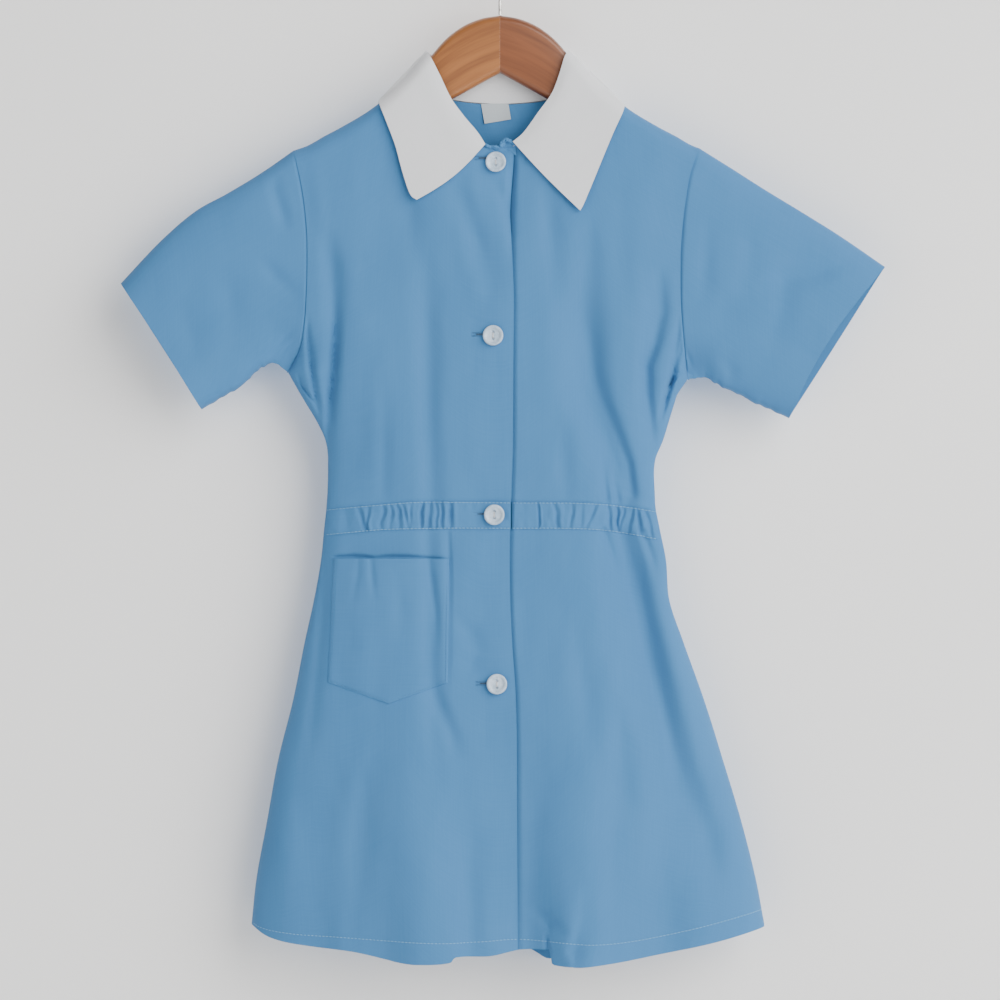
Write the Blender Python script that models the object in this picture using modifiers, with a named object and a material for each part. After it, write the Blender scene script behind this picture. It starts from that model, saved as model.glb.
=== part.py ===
"""Child's button-front uniform dress, hung flat on a wooden hanger.

Metres, +Z up. The origin is the inner crown of the hook, where a rail or a peg carries it.
The front of the dress faces -Y, and the wearer's right is at -X. The tables are in
millimetres, and "drop" is the distance below the hook's crown, so z = -drop.
"""
import math

import bpy
import numpy as np

MM = 0.001

# Cloth
WALL = 1.2
SEAM_GAP = 0.6
LAY_GAP = 0.55

# Outline of the body below the armholes, with the half depths in front and behind
SIDES = {
    "drop": (330, 343, 354, 365, 380, 394, 423, 445, 467, 496, 526, 569, 613, 657, 701, 733),
    "left": (-154.8, -147.5, -141, -134.3, -127.4, -125.6, -126.3, -128.5, -130.7, -135.8,
             -142.4, -151, -162, -170, -178, -181.4),
    "right": (137, 130.5, 127, 123.6, 119, 113.4, 113.2, 116.8, 121.2, 123.6,
              133.6, 149, 162.8, 176, 187, 193),
}
DEPTHS = {
    "drop": (168, 200, 250, 330, 380, 424, 450, 520, 600, 680, 760),
    "front": (9, 12, 15, 18, 18, 15, 15, 21, 27, 32, 36),
    "back": (9, 11, 12, 14, 14, 13, 13, 17, 21, 25, 28),
}
# Armhole seams: how far down each one, and its place across
ARMHOLES = {
    "share": (0, 0.1, 0.22, 0.38, 0.5, 0.67, 0.79, 0.9, 1),
    "left": (-150.5, -146.6, -143, -140.5, -140.2, -140.9, -142.4, -146.2, -154.8),
    "right": (145.3, 139.2, 135.4, 132.3, 131.4, 131.6, 133, 135, 137),
}
TIP_DROP = 168
UNDERARM_LEFT = 330
UNDERARM_RIGHT = 335
UNDERARM_EASE = 14
# Ridge over the hanger, from the middle of the neck out to the shoulder tip
RIDGE = {
    "across": (0, 29, 52.5, 69.4, 93.4, 117, 140, 150.5),
    "drop": (66, 78, 98, 117.4, 137.5, 153.2, 165, 168),
}
NECK_SIDE = 69.4
FRONT_NECK = {
    "across": (0, 11, 28, 44, 58, 66, 69.4),
    "drop": (166.5, 166, 158, 146, 131, 121.5, 117.4),
}
BACK_NECK = {"across": (0, 33, 52, 64, 69.4), "drop": (134.6, 131.3, 125.5, 120, 117.4)}
BAND = {
    "across": (-130, -87, -55, 10, 73, 95, 120),
    "top": (430, 426, 424, 424.4, 425.5, 428, 432),
    "bottom": (450, 446, 445, 444.9, 446, 449, 454),
}
HEM = {
    "across": (-182, -169, -137, -94, -72, -44, -28, 9, 15, 33, 52, 79, 113, 144, 170, 194),
    "drop": (732, 741, 746, 750, 752, 753, 749.5, 748, 747, 751, 754, 753, 748, 743, 738, 732),
}
# Front opening: the over lap's edge, and the width that lies under it
LAP_EDGE = {"drop": (160, 560, 640, 752), "across": (9.5, 9.5, 11.5, 13)}
LAP_WIDTH = 20.5
LAP_STEP = WALL + 0.7
LAP_CLEAR = 2
LAP_RISE = 14

# Rounding of the cloth over the hanger, and how the body swells below it
RIDGE_RADIUS = 9
RIDGE_SLOPE = 0.8
SWELL = 130
ARM_DEPTH = 13
ARM_ROUND = 60
PILLOW = 3
FOLD_EASE = 0.16

# Largest folds: a row for each height, with the place across, half width and depth inwards
FRONT_FOLDS = {
    "right_long": ((255, 60, 9, 0), (300, 68, 9, 3.5), (372, 88, 8, 5.5), (424, 101, 7, 3.5),
                   (470, 105, 8, 5), (560, 123, 10, 6.5), (640, 136, 11, 4.5), (700, 152, 12, 0)),
    "right_short": ((250, 118, 6, 0), (300, 110, 7, 2.5), (370, 112, 6, 2), (400, 112, 6, 0)),
    "left_side": ((225, -124, 7, 0), (270, -122, 7, 1.8), (350, -120, 7, 3.5), (400, -116, 8, 0)),
    "left_flute": ((520, -70, 26, 0), (640, -60, 28, -5), (760, -53, 28, -10)),
    "right_flute": ((500, 52, 26, 0), (640, 56, 28, -6), (760, 60, 26, -11)),
    "middle": ((560, 14, 16, 0), (680, 16, 18, 3), (760, 20, 18, 6)),
    "left_outer": ((540, -120, 16, 0), (680, -128, 20, 4), (760, -132, 20, 5)),
    "right_outer": ((640, 118, 16, 0), (700, 122, 18, 3), (760, 126, 18, 5)),
}
BACK_FOLDS = {
    "left": ((440, -78, 14, 0), (560, -92, 16, 4), (760, -110, 20, 7)),
    "left_flute": ((480, -40, 20, 0), (640, -48, 24, -4), (760, -56, 26, -7)),
    "middle": ((450, 4, 14, 0), (600, 2, 18, 4), (760, 0, 22, 7)),
    "right_flute": ((480, 44, 20, 0), (640, 52, 24, -4), (760, 60, 26, -7)),
    "right": ((440, 76, 14, 0), (560, 92, 16, 4), (760, 114, 20, 7)),
    "yoke": ((190, 30, 12, 0), (250, 24, 14, 2), (330, 12, 14, 2.5), (420, 6, 12, 0)),
}

# Rows and columns of the cloth's grids, as shares of their stretch
ARM_ROWS = (0, 0.0006, 0.006, 0.025, 0.06, 0.12, 0.22, 0.34, 0.48, 0.62, 0.76, 0.88, 0.96, 1)
CHEST_ROWS = 3
SKIRT_ROWS = 7
NECK_COLUMNS = 5
SHOULDER_COLUMNS = 7
LAP_COLUMNS = 3
SIDE_COLUMNS = (0.08, 0.03, 0.006, 0.0004, 0)
CORNER_STEPS = (4.4, 1.2)
SEAM_TRIES = 12
JUST_ABOVE = 1e-6

# Sleeves, from the armhole to the cuff
SLEEVE_ROWS = (0, 0.2, 0.4, 0.6, 0.8, 1)
SLEEVE_LINES = ("top_across", "top_drop", "foot_across", "foot_drop", "half_depth")
LEFT_SLEEVE = {
    "top_across": (-150.5, -173.7, -198.6, -222.7, -248.2, -275.6),
    "top_drop": (168, 184.2, 198.5, 211.6, 237.5, 264.9),
    "foot_across": (-154.8, -165, -176.7, -185.4, -200, -216.8),
    "foot_drop": (330, 323.7, 328, 335.3, 345.6, 356.6),
    "half_depth": (12, 12, 12, 12.5, 13.5, 15),
    "front_pull": 1.5,
}
RIGHT_SLEEVE = {
    "top_across": (145.3, 169.4, 194.2, 219.7, 248.2, 281.1),
    "top_drop": (168, 182.5, 198.5, 214.5, 233.5, 255.4),
    "foot_across": (137, 148.2, 162, 177.4, 192.7, 209.5),
    "foot_drop": (335, 334.2, 340.8, 347, 352.9, 362),
    "half_depth": (12, 12, 12, 12.5, 13.5, 15),
    "front_pull": 5.5,
}
SLEEVE_STATIONS = 7
SLEEVE_BLEND = 2.5
PULL_POWER = 6

# Collar: a row for each station from the front end round to the middle of the back.
# "turn" is 90 where the collar faces front, 0 on the shoulder ridge and -90 behind.
COLLAR_COLUMNS = ("neck_across", "roll_across", "roll_drop", "edge_across", "edge_drop", "turn")
RIGHT_COLLAR = (
    (-11, -11, 164.4, -57.7, 202.8, 90),
    (-17, -17, 155, -64.6, 201.4, 90),
    (-30, -27, 143, -70, 183.9, 90),
    (-45, -36, 130.5, -75.9, 166.3, 90),
    (-58, -44, 114, -81.5, 151, 88),
    (-66, -50.5, 101, -86, 138.5, 70),
    (-69.4, -53, 96.5, -89, 131.5, 0),
    (-66, -50, 98.5, -87, 139, -70),
    (-54, -42, 100, -76, 152, -88),
    (-30, -24, 101.5, -44, 157, -90),
    (0, 0, 102, 0, 158, -90),
)
LEFT_COLLAR = (
    (9.5, 9.5, 162.5, 54.8, 210, 90),
    (17, 17.5, 155.5, 59.1, 212.4, 90),
    (30, 28, 141, 67.2, 192.6, 90),
    (45, 38, 127, 75.2, 173.6, 90),
    (58, 43.5, 113, 82.5, 156.1, 88),
    (66, 47, 101, 88.3, 143, 70),
    (69.4, 49.5, 96.5, 91, 135, 0),
    (66, 48, 98.5, 88.5, 143, -70),
    (54, 42, 100, 77, 153, -88),
    (30, 24, 101.5, 44, 157, -90),
    (0, 0, 102, 0, 158, -90),
)
COLLAR_STEPS = 2
COLLAR_LEAN = 40
COLLAR_WALL = 1.1
# Across the collar: share of the stand (0 to 1) or of the fall (1 to 2), and how far it is out
COLLAR_PROFILE = (
    (0, -0.6), (0.5, -0.6), (0.9, -0.4), (1, 1.0),
    (1.1, 2.4), (1.4, 2.2), (1.7, 1.8), (2, 1.6),
)
COLLAR_RIDGE_LIFT = 1.1
NECK_GAP = 0.7

# Waist casing
BAND_WALL = 0.9
BAND_TRIM = 1.2
GATHER_DEPTH = 1.2
GATHER_UNEVEN = 0.25
GATHER_BEAT = 2.4
RIGHT_GATHERS = {"start": 0.36, "stop": 0.965, "count": 14}
LEFT_GATHERS = {"start": 0.24, "stop": 0.965, "count": 17}
BACK_GATHERS = {"start": 0.03, "stop": 0.97, "count": 34}

# Pocket on the wearer's right
POCKET = {"left_top": -121.5, "right_top": -37, "left_low": -125.5, "right_low": -38, "point": -81,
          "top": 466, "low": 556, "foot": 571.5}
POCKET_ROWS = 8
POCKET_COLUMNS = 8
POCKET_SWELL = 1.6
POCKET_MOUTH = 1.4

# Buttons
BUTTON = {
    "radius": 7.5, "rim": 1.5, "rim_height": 2.6, "dish_height": 1.9,
    "hole": 0.9, "hole_apart": 2.0, "clear": 0.35,
}
BUTTON_PLACES = ((-3.1, 176.6), (-5.1, 303.7), (-4.2, 434), (-2.3, 557))
BUTTON_ON_BAND = 2
BUTTON_SIDES = 20
BUTTON_TURN_MERGE = 0.00001
SEAT_STEPS = 24
HOLE_SIDES = 8
HOLE_LENGTH = 8

LABEL = {"left": -13.5, "right": 6, "top": 137.2, "foot": 149, "thick": 0.6}
LABEL_COLUMNS = 4
LABEL_ROWS = 3

# Hanger
WOOD_THICK = 12
WOOD_ROUND = 5.6
WOOD_ROUND_SHARE = 0.42
WOOD = {
    "across": (0, 14.6, 29.2, 40.2, 50.4, 62, 75, 93.4, 117, 134, 143, 146),
    "top": (69.6, 72.2, 78.8, 87.5, 99.2, 113.6, 125.8, 140.4, 156.2, 166.4, 171.2, 174),
    "foot": (111.6, 119.7, 127.8, 133.8, 139.4, 145.6, 152, 161, 172.5, 180.3, 182, 180),
}
WOOD_SECTION = 14
WOOD_TIP = 0.6
WIRE = 2.6
HOOK_RADIUS = 19
SHANK_BEND = 46
HOOK_START = -62
HOOK_STOP = 196
HOOK_STEPS = 20


def smooth(value):
    """Ease from 0 to 1 with level ends."""
    held = np.clip(value, 0, 1)
    return held * held * (3 - 2 * held)


def along(at, places, values):
    """Smooth curve through a table, with straight ends and no overshoot at its rows."""
    places = np.asarray(places, float)
    values = np.asarray(values, float)
    at = np.clip(np.asarray(at, float), places[0], places[-1])
    slope = np.diff(values) / np.diff(places)
    tangent = np.concatenate(([slope[0]], (slope[1:] + slope[:-1]) / 2, [slope[-1]]))
    flat = slope[1:] * slope[:-1] <= 0
    tangent[1:-1][flat] = 0
    row = np.clip(np.searchsorted(places, at, side="right") - 1, 0, len(places) - 2)
    step = places[row + 1] - places[row]
    t = (at - places[row]) / step
    rise = values[row + 1] - values[row]
    start = tangent[row] * step
    end = tangent[row + 1] * step
    return values[row] + t * (start + t * (3 * rise - 2 * start - end + t * (start + end - 2 * rise)))


def ridge_drop(x):
    """Drop of the ridge that the cloth makes over the hanger."""
    return along(np.abs(x), RIDGE["across"], RIDGE["drop"])


def underarm_drop(x):
    """Drop of the underarm level across the body."""
    middle = (UNDERARM_LEFT + UNDERARM_RIGHT) / 2
    return middle + (UNDERARM_RIGHT - UNDERARM_LEFT) / 2 * np.clip(x / NECK_SIDE, -1, 1)


def edge_across(drop, side):
    """Place across of the armhole or side seam of one side."""
    under = UNDERARM_LEFT if side == "left" else UNDERARM_RIGHT
    share = (np.asarray(drop, float) - TIP_DROP) / (under - TIP_DROP)
    armhole = along(share, ARMHOLES["share"], ARMHOLES[side])
    seam = along(np.maximum(drop, under), SIDES["drop"], SIDES[side])
    step = ARMHOLES[side][-1] - along(under, SIDES["drop"], SIDES[side])
    seam = seam + step * (1 - smooth((drop - under) / UNDERARM_EASE))
    return np.where(share < 1, armhole, seam)


def fold_depth(x, drop, folds):
    """Sum of the folds: each is a soft trough whose line and size follow the drop."""
    total = np.zeros(np.broadcast(x, drop).shape)
    for rows in folds.values():
        drops, lines, widths, depths = zip(*rows)
        line = along(drop, drops, lines)
        width = along(drop, drops, widths)
        depth = along(drop, drops, depths)
        inside = (drop >= drops[0]) & (drop <= drops[-1])
        total = total + np.where(inside, depth, 0) * np.exp(-((x - line) / width) ** 2)
    return total


def half_depth(x, drop, face):
    """Distance of the cloth's outside from the middle plane, on one face."""
    x = np.asarray(x, float)
    drop = np.asarray(drop, float)
    left = edge_across(drop, "left")
    right = edge_across(drop, "right")
    offset = np.clip(np.abs(x - (left + right) / 2) / ((right - left) / 2), 0, 1)
    full = along(drop, DEPTHS["drop"], DEPTHS[face])
    above = np.clip((underarm_drop(x) - drop) / ARM_ROUND, 0, 1)
    arm_edge = ARM_DEPTH * np.sqrt(1 - (1 - above) ** 2)
    pillow = (1 - offset ** PILLOW) ** (0.5 + 0.5 * smooth(above))
    body = arm_edge + (full - arm_edge) * pillow
    below = (drop - ridge_drop(x)) * RIDGE_SLOPE
    cap = RIDGE_RADIUS * np.sqrt(1 - (1 - np.clip(below / RIDGE_RADIUS, 0, 1)) ** 2)
    grown = smooth(below / SWELL)
    folds = FRONT_FOLDS if face == "front" else BACK_FOLDS
    folded = fold_depth(x, drop, folds) * smooth((1 - offset) / FOLD_EASE)
    return cap * (1 - grown) + body * grown - folded


def cloth_point(x, drop, face, lift=0.0):
    """Point of the cloth's outside, with the seam's gap at the middle plane."""
    out = half_depth(x, drop, face) + SEAM_GAP / 2 + lift
    y = -out if face == "front" else out
    x, y, drop = np.broadcast_arrays(np.asarray(x, float), y, np.asarray(drop, float))
    return np.stack([x, y, -drop], axis=-1)


def top_drop(x, face):
    """Drop of a panel's upper edge: the neckline, then the shoulder ridge."""
    neck = FRONT_NECK if face == "front" else BACK_NECK
    across = np.abs(x)
    line = along(across, neck["across"], neck["drop"])
    return np.where(across < NECK_SIDE, line, ridge_drop(x))


def panel_levels():
    """Level curves of the lower rows: from the underarm to the casing and on to the hem."""
    def band_top(x):
        return along(x, BAND["across"], BAND["top"])

    def band_bottom(x):
        return along(x, BAND["across"], BAND["bottom"])

    def hem(x):
        return along(x, HEM["across"], HEM["drop"])

    def blend(first, second, share):
        return lambda x: first(x) * (1 - share) + second(x) * share

    chest = [blend(underarm_drop, band_top, (i + 1) / CHEST_ROWS) for i in range(CHEST_ROWS)]
    skirt = [blend(band_bottom, hem, (i + 1) / SKIRT_ROWS) for i in range(SKIRT_ROWS)]
    return chest + [band_bottom] + skirt


BAND_TOP_ROW = len(ARM_ROWS) - 1 + CHEST_ROWS
BAND_BOTTOM_ROW = BAND_TOP_ROW + 1


def row_end(level, side):
    """Where a level curve meets the side seam."""
    x = float(SIDES[side][0])
    for _ in range(SEAM_TRIES):
        drop = float(level(np.array(x)))
        x = float(edge_across(drop, side))
    return x


def side_shares(tip, start):
    """Shares across from the lap to the side seam, closer at the neck's corner and at the seam."""
    span = abs(tip) - abs(start)
    corner = (NECK_SIDE - abs(start)) / span
    near = [corner - step / span for step in CORNER_STEPS]
    neck = list(np.linspace(0, near[0], NECK_COLUMNS))
    outer = list(np.linspace(corner, 1 - SIDE_COLUMNS[0], SHOULDER_COLUMNS + 1))
    return np.array(neck + near[1:] + outer + [1 - step for step in SIDE_COLUMNS[1:]])


def lap_edge(drop):
    """Place across of the over lap's edge."""
    return along(drop, LAP_EDGE["drop"], LAP_EDGE["across"])


def front_panel(side):
    """Grid of a front: the lap's columns, then columns out to the armhole and side seam."""
    sign = -1 if side == "left" else 1
    tip = ARMHOLES[side][0]
    under = UNDERARM_LEFT if side == "left" else UNDERARM_RIGHT
    first_edge = LAP_EDGE["across"][0]
    shares = side_shares(tip, first_edge - LAP_WIDTH if side == "left" else first_edge)

    def columns(edge, end):
        over = edge if side == "left" else edge - LAP_WIDTH
        inner = over + sign * LAP_WIDTH
        lap = np.linspace(over, inner, LAP_COLUMNS + 1)[:-1]
        return np.concatenate([lap, inner + shares * (end - inner)])

    xs = []
    drops = []
    top_x = columns(lap_edge(TIP_DROP), tip)
    start = top_drop(top_x, "front")
    for share in ARM_ROWS:
        end_drop = TIP_DROP + share * (under - TIP_DROP)
        end_x = float(edge_across(min(end_drop, under - JUST_ABOVE), side))
        x = columns(lap_edge(end_drop), end_x)
        xs.append(x)
        drops.append(start * (1 - share) + underarm_drop(x) * share)
    drops[-1][-1] = under
    for level in panel_levels():
        end = row_end(level, side)
        x = columns(lap_edge(level(np.array(end))), end)
        xs.append(x)
        drops.append(level(x))
    x = np.array(xs)
    drop = np.array(drops)
    lift = 0.0
    if side == "right":
        lift = -LAP_STEP * (1 - smooth((x - lap_edge(drop) - LAP_CLEAR) / LAP_RISE))
    return cloth_point(x, drop, "front", lift)


def back_panel():
    """Grid of the back, from the left seam across to the right seam."""
    left_tip = ARMHOLES["left"][0]
    right_tip = ARMHOLES["right"][0]
    left = side_shares(left_tip, 0)
    right = side_shares(right_tip, 0)

    def columns(left_end, right_end):
        return np.concatenate([(left * left_end)[::-1], (right * right_end)[1:]])

    xs = []
    drops = []
    start = top_drop(columns(left_tip, right_tip), "back")
    for share in ARM_ROWS:
        left_drop = TIP_DROP + share * (UNDERARM_LEFT - TIP_DROP)
        right_drop = TIP_DROP + share * (UNDERARM_RIGHT - TIP_DROP)
        x = columns(float(edge_across(min(left_drop, UNDERARM_LEFT - JUST_ABOVE), "left")),
                    float(edge_across(min(right_drop, UNDERARM_RIGHT - JUST_ABOVE), "right")))
        xs.append(x)
        drops.append(start * (1 - share) + underarm_drop(x) * share)
    drops[len(ARM_ROWS) - 1][0] = UNDERARM_LEFT
    drops[len(ARM_ROWS) - 1][-1] = UNDERARM_RIGHT
    for level in panel_levels():
        x = columns(row_end(level, "left"), row_end(level, "right"))
        xs.append(x)
        drops.append(level(x))
    return cloth_point(np.array(xs), np.array(drops), "back")


def sleeve_tube(side, front, back):
    """Grid of a sleeve: rings from the armhole's own points out to the cuff."""
    table = LEFT_SLEEVE if side == "left" else RIGHT_SLEEVE
    rows = len(ARM_ROWS)
    front_edge = front[:rows, -1]
    back_edge = back[:rows, 0 if side == "left" else -1]
    ring = np.concatenate([front_edge, back_edge[-2:0:-1]])
    ring[[0, rows - 1], 1] = 0
    share = (ring[:, 2] - ring[0, 2]) / (ring[rows - 1, 2] - ring[0, 2])
    chord = ring[0] + share[:, None] * (ring[rows - 1] - ring[0])
    bend = ring - chord
    face = np.where(np.arange(len(ring)) < rows, -1, 1)
    rings = []
    length = abs(table["top_across"][-1] - table["top_across"][0])
    for s in np.linspace(SEAM_GAP / length, 1, SLEEVE_STATIONS):
        place = {name: float(along(s, SLEEVE_ROWS, table[name])) for name in SLEEVE_LINES}
        top = np.array([place["top_across"], 0, -place["top_drop"]])
        foot = np.array([place["foot_across"], 0, -place["foot_drop"]])
        kept = (1 - s) ** 2
        line = top + share[:, None] * (foot - top)
        round_out = np.sqrt(np.clip(1 - np.abs(2 * share - 1) ** PILLOW, 0, 1))
        own = face * round_out * place["half_depth"]
        blend = smooth(s * SLEEVE_BLEND)
        line[:, 0] += bend[:, 0] * kept
        line[:, 1] = bend[:, 1] * (1 - blend) + own * blend
        inward = -1 if side == "right" else 1
        pull = table["front_pull"] * s ** PULL_POWER * np.sin(math.pi * share) * (face < 0)
        line[:, 0] += inward * pull
        rings.append(line)
    return np.array(rings)


def collar_side(rows, sign):
    """Grid of one half of the collar, from its front end to the middle of the back."""
    table = dict(zip(COLLAR_COLUMNS, zip(*rows)))
    station = np.arange(len(rows))
    fine = np.linspace(0, len(rows) - 1, (len(rows) - 1) * COLLAR_STEPS + 1)
    value = {name: along(fine, station, table[name]) for name in COLLAR_COLUMNS}
    turn = np.radians(value["turn"])
    lean = math.radians(COLLAR_LEAN)
    sideways = sign * np.cos(turn) * math.sin(lean)
    outward = np.stack([sideways, -np.sin(turn), np.cos(turn) * math.cos(lean)], axis=-1)
    face = np.sign(-value["turn"])
    front_neck = along(np.abs(value["neck_across"]), FRONT_NECK["across"], FRONT_NECK["drop"])
    back_neck = along(np.abs(value["neck_across"]), BACK_NECK["across"], BACK_NECK["drop"])
    neck_drop = np.where(face > 0, back_neck, front_neck) - NECK_GAP
    columns = []
    for share, out in COLLAR_PROFILE:
        if share <= 1:
            x = value["neck_across"] * (1 - share) + value["roll_across"] * share
            drop = neck_drop * (1 - share) + value["roll_drop"] * share
        else:
            x = value["roll_across"] * (2 - share) + value["edge_across"] * (share - 1)
            drop = value["roll_drop"] * (2 - share) + value["edge_drop"] * (share - 1)
        depth = np.where(face > 0, half_depth(x, drop, "back"), half_depth(x, drop, "front"))
        base = np.stack([x, face * depth, -drop], axis=-1)
        clear = out + (COLLAR_RIDGE_LIFT * np.cos(turn) if share > 1 else 0)
        columns.append(base + outward * np.broadcast_to(clear, turn.shape)[:, None])
    return np.stack(columns, axis=1)


def collar_sheet():
    """Grid of the whole collar, its two halves joined at the middle of the back."""
    right = collar_side(RIGHT_COLLAR, -1)
    left = collar_side(LEFT_COLLAR, 1)
    return np.concatenate([right, left[::-1][1:]])


def unit(vectors):
    """Vectors of length one."""
    return vectors / np.maximum(np.linalg.norm(vectors, axis=-1, keepdims=True), 1e-9)


def grid_normals(points, outward):
    """Unit normals of a grid, turned to the given side."""
    normal = unit(np.cross(np.gradient(points, axis=0), np.gradient(points, axis=1)))
    side = np.sign(np.sum(normal * np.asarray(outward, float), axis=-1).mean())
    return normal * side


def sample(grid, rows, columns):
    """Points of a grid between its own rows and columns, on its flat faces."""
    row = np.clip(np.floor(rows).astype(int), 0, grid.shape[0] - 2)
    column = np.clip(np.floor(columns).astype(int), 0, grid.shape[1] - 2)
    down = (rows - row)[..., None]
    over = (columns - column)[..., None]
    upper = grid[row, column] * (1 - over) + grid[row, column + 1] * over
    lower = grid[row + 1, column] * (1 - over) + grid[row + 1, column + 1] * over
    return upper * (1 - down) + lower * down


def band_columns(panel, gathers, trim):
    """Column places for a casing strip, and how high the gather stands at each."""
    across = panel[BAND_TOP_ROW, :, 0]
    index = np.arange(len(across), dtype=float)
    share = (across - across[0]) / (across[-1] - across[0])
    first = trim / abs(across[-1] - across[0])
    waves = np.linspace(gathers["start"], gathers["stop"], 2 * gathers["count"] + 1)
    crest = 1 - np.arange(len(waves)) % 2
    shares = np.unique(np.concatenate([[first], share[share > first], waves]).round(6))
    height = np.interp(shares, waves, crest, left=1, right=1)
    return np.interp(shares, share, index), height


def band_strip(panel, gathers, outward, trim=0.0):
    """Casing strip on a panel: a plain inside on the panel's points, gathers raised outside."""
    columns, height = band_columns(panel, gathers, trim)
    normal = grid_normals(panel, outward)
    rows = np.array([BAND_TOP_ROW, BAND_BOTTOM_ROW], float)
    at_row, at_column = np.meshgrid(rows, columns, indexing="ij")
    base = sample(panel, at_row, at_column)
    facing = unit(sample(normal, at_row, at_column))
    uneven = 1 - GATHER_UNEVEN * (1 - np.sin(np.arange(len(columns)) * GATHER_BEAT))
    raised = BAND_WALL + (height * uneven)[None, :, None] * GATHER_DEPTH
    inner = base + facing * LAY_GAP
    return inner, inner + facing * raised


def panel_depth(panel, x, drop):
    """Distance of a panel's own flat faces from the middle plane, at places across and down."""
    x, drop = np.broadcast_arrays(np.asarray(x, float), np.asarray(drop, float))
    order = 1 if panel[0, -1, 0] > panel[0, 0, 0] else -1
    rows = panel[:, ::order]
    row_drop = np.array([np.interp(x.ravel(), row[:, 0], -row[:, 2]) for row in rows])
    row_depth = np.array([np.interp(x.ravel(), row[:, 0], np.abs(row[:, 1])) for row in rows])
    columns = range(x.size)
    depth = [np.interp(drop.ravel()[i], row_drop[:, i], row_depth[:, i]) for i in columns]
    return np.array(depth).reshape(x.shape)


def pocket_patch(panel):
    """Patch pocket on a front: both its sides are the panel's points, moved out."""
    across = np.linspace(0, 1, POCKET_COLUMNS + 1)
    down = np.linspace(0, 1, POCKET_ROWS + 1)
    down_grid, across_grid = np.meshgrid(down, across, indexing="ij")
    left = POCKET["left_top"] + (POCKET["left_low"] - POCKET["left_top"]) * down_grid
    right = POCKET["right_top"] + (POCKET["right_low"] - POCKET["right_top"]) * down_grid
    x = left + across_grid * (right - left)
    point = (POCKET["point"] - POCKET["left_low"]) / (POCKET["right_low"] - POCKET["left_low"])
    to_side = np.where(across_grid < point, across_grid / point, (1 - across_grid) / (1 - point))
    low = POCKET["low"] + (POCKET["foot"] - POCKET["low"]) * to_side
    drop = POCKET["top"] + down_grid * (low - POCKET["top"])
    base = np.stack([x, -panel_depth(panel, x, drop), -drop], axis=-1)
    middle = np.sin(math.pi * across_grid)
    swell = POCKET_SWELL * middle * np.sin(math.pi * np.clip(down_grid, 0, 1))
    mouth = POCKET_MOUTH * middle * (1 - down_grid) ** 3
    inner = base + np.array([0, -1, 0]) * (LAY_GAP + swell + mouth)[..., None]
    return inner, inner + np.array([0, -WALL, 0])


def finish(name, color, roughness, metallic=0.0):
    """Principled material of one piece."""
    material = bpy.data.materials.new(name)
    material.use_nodes = True
    shader = material.node_tree.nodes["Principled BSDF"]
    shader.inputs["Base Color"].default_value = (*color, 1)
    shader.inputs["Roughness"].default_value = roughness
    shader.inputs["Metallic"].default_value = metallic
    return material


def clear_scene():
    """Remove the start objects."""
    for item in list(bpy.data.objects):
        bpy.data.objects.remove(item, do_unlink=True)


def collection(name):
    """New collection in the scene."""
    made = bpy.data.collections.new(name)
    bpy.context.scene.collection.children.link(made)
    return made


def add_object(name, mesh, material, group):
    """Object of a mesh with its material, in a collection."""
    item = bpy.data.objects.new(name, mesh)
    mesh.materials.append(material)
    group.objects.link(item)
    return item


def grid_faces(rows, columns, start=0, wrap=False, flip=False):
    """Quads of a grid of points, closed round its columns if wrapped."""
    faces = []
    last = columns if wrap else columns - 1
    for row in range(rows - 1):
        for column in range(last):
            right = (column + 1) % columns
            face = [start + row * columns + column, start + (row + 1) * columns + column,
                    start + (row + 1) * columns + right, start + row * columns + right]
            faces.append(face[::-1] if flip else face)
    return faces


def cloth_sheet(name, points, material, group, wall=WALL, offset=-1.0, wrap=False, flip=False, even=True):
    """Open grid of points, given its wall by Solidify."""
    rows, columns = points.shape[:2]
    mesh = bpy.data.meshes.new(name)
    mesh.from_pydata((points.reshape(-1, 3) * MM).tolist(), [], grid_faces(rows, columns, 0, wrap, flip))
    mesh.shade_smooth()
    item = add_object(name, mesh, material, group)
    shell = item.modifiers.new("wall", "SOLIDIFY")
    shell.thickness = wall * MM
    shell.offset = offset
    shell.use_even_offset = even
    shell.use_quality_normals = True
    return item


def cloth_slab(name, inner, outer, material, group, flip=False):
    """Closed wall between two grids of points."""
    rows, columns = inner.shape[:2]
    count = rows * columns
    points = np.concatenate([outer.reshape(-1, 3), inner.reshape(-1, 3)]) * MM
    faces = grid_faces(rows, columns, 0, False, flip) + grid_faces(rows, columns, count, False, not flip)
    top = [(i, i + 1) for i in range(columns - 1)]
    right = [(i * columns + columns - 1, (i + 1) * columns + columns - 1) for i in range(rows - 1)]
    foot = [(rows * columns - 1 - i, rows * columns - 2 - i) for i in range(columns - 1)]
    left = [((rows - 1 - i) * columns, (rows - 2 - i) * columns) for i in range(rows - 1)]
    for first, second in top + right + foot + left:
        face = [first, second, second + count, first + count]
        faces.append(face[::-1] if flip else face)
    mesh = bpy.data.meshes.new(name)
    mesh.from_pydata(points.tolist(), [], faces)
    mesh.shade_smooth()
    return add_object(name, mesh, material, group)


def label_slab(back):
    """Blank label that hangs from the neck seam, just inside the back's wall."""
    x, drop = np.meshgrid(np.linspace(LABEL["left"], LABEL["right"], LABEL_COLUMNS),
                          np.linspace(LABEL["top"], LABEL["foot"], LABEL_ROWS))
    wall = cloth_point(x, drop, "back")
    outer = wall - np.array([0, WALL + LAY_GAP, 0])
    return outer, outer - np.array([0, LABEL["thick"], 0])


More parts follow.
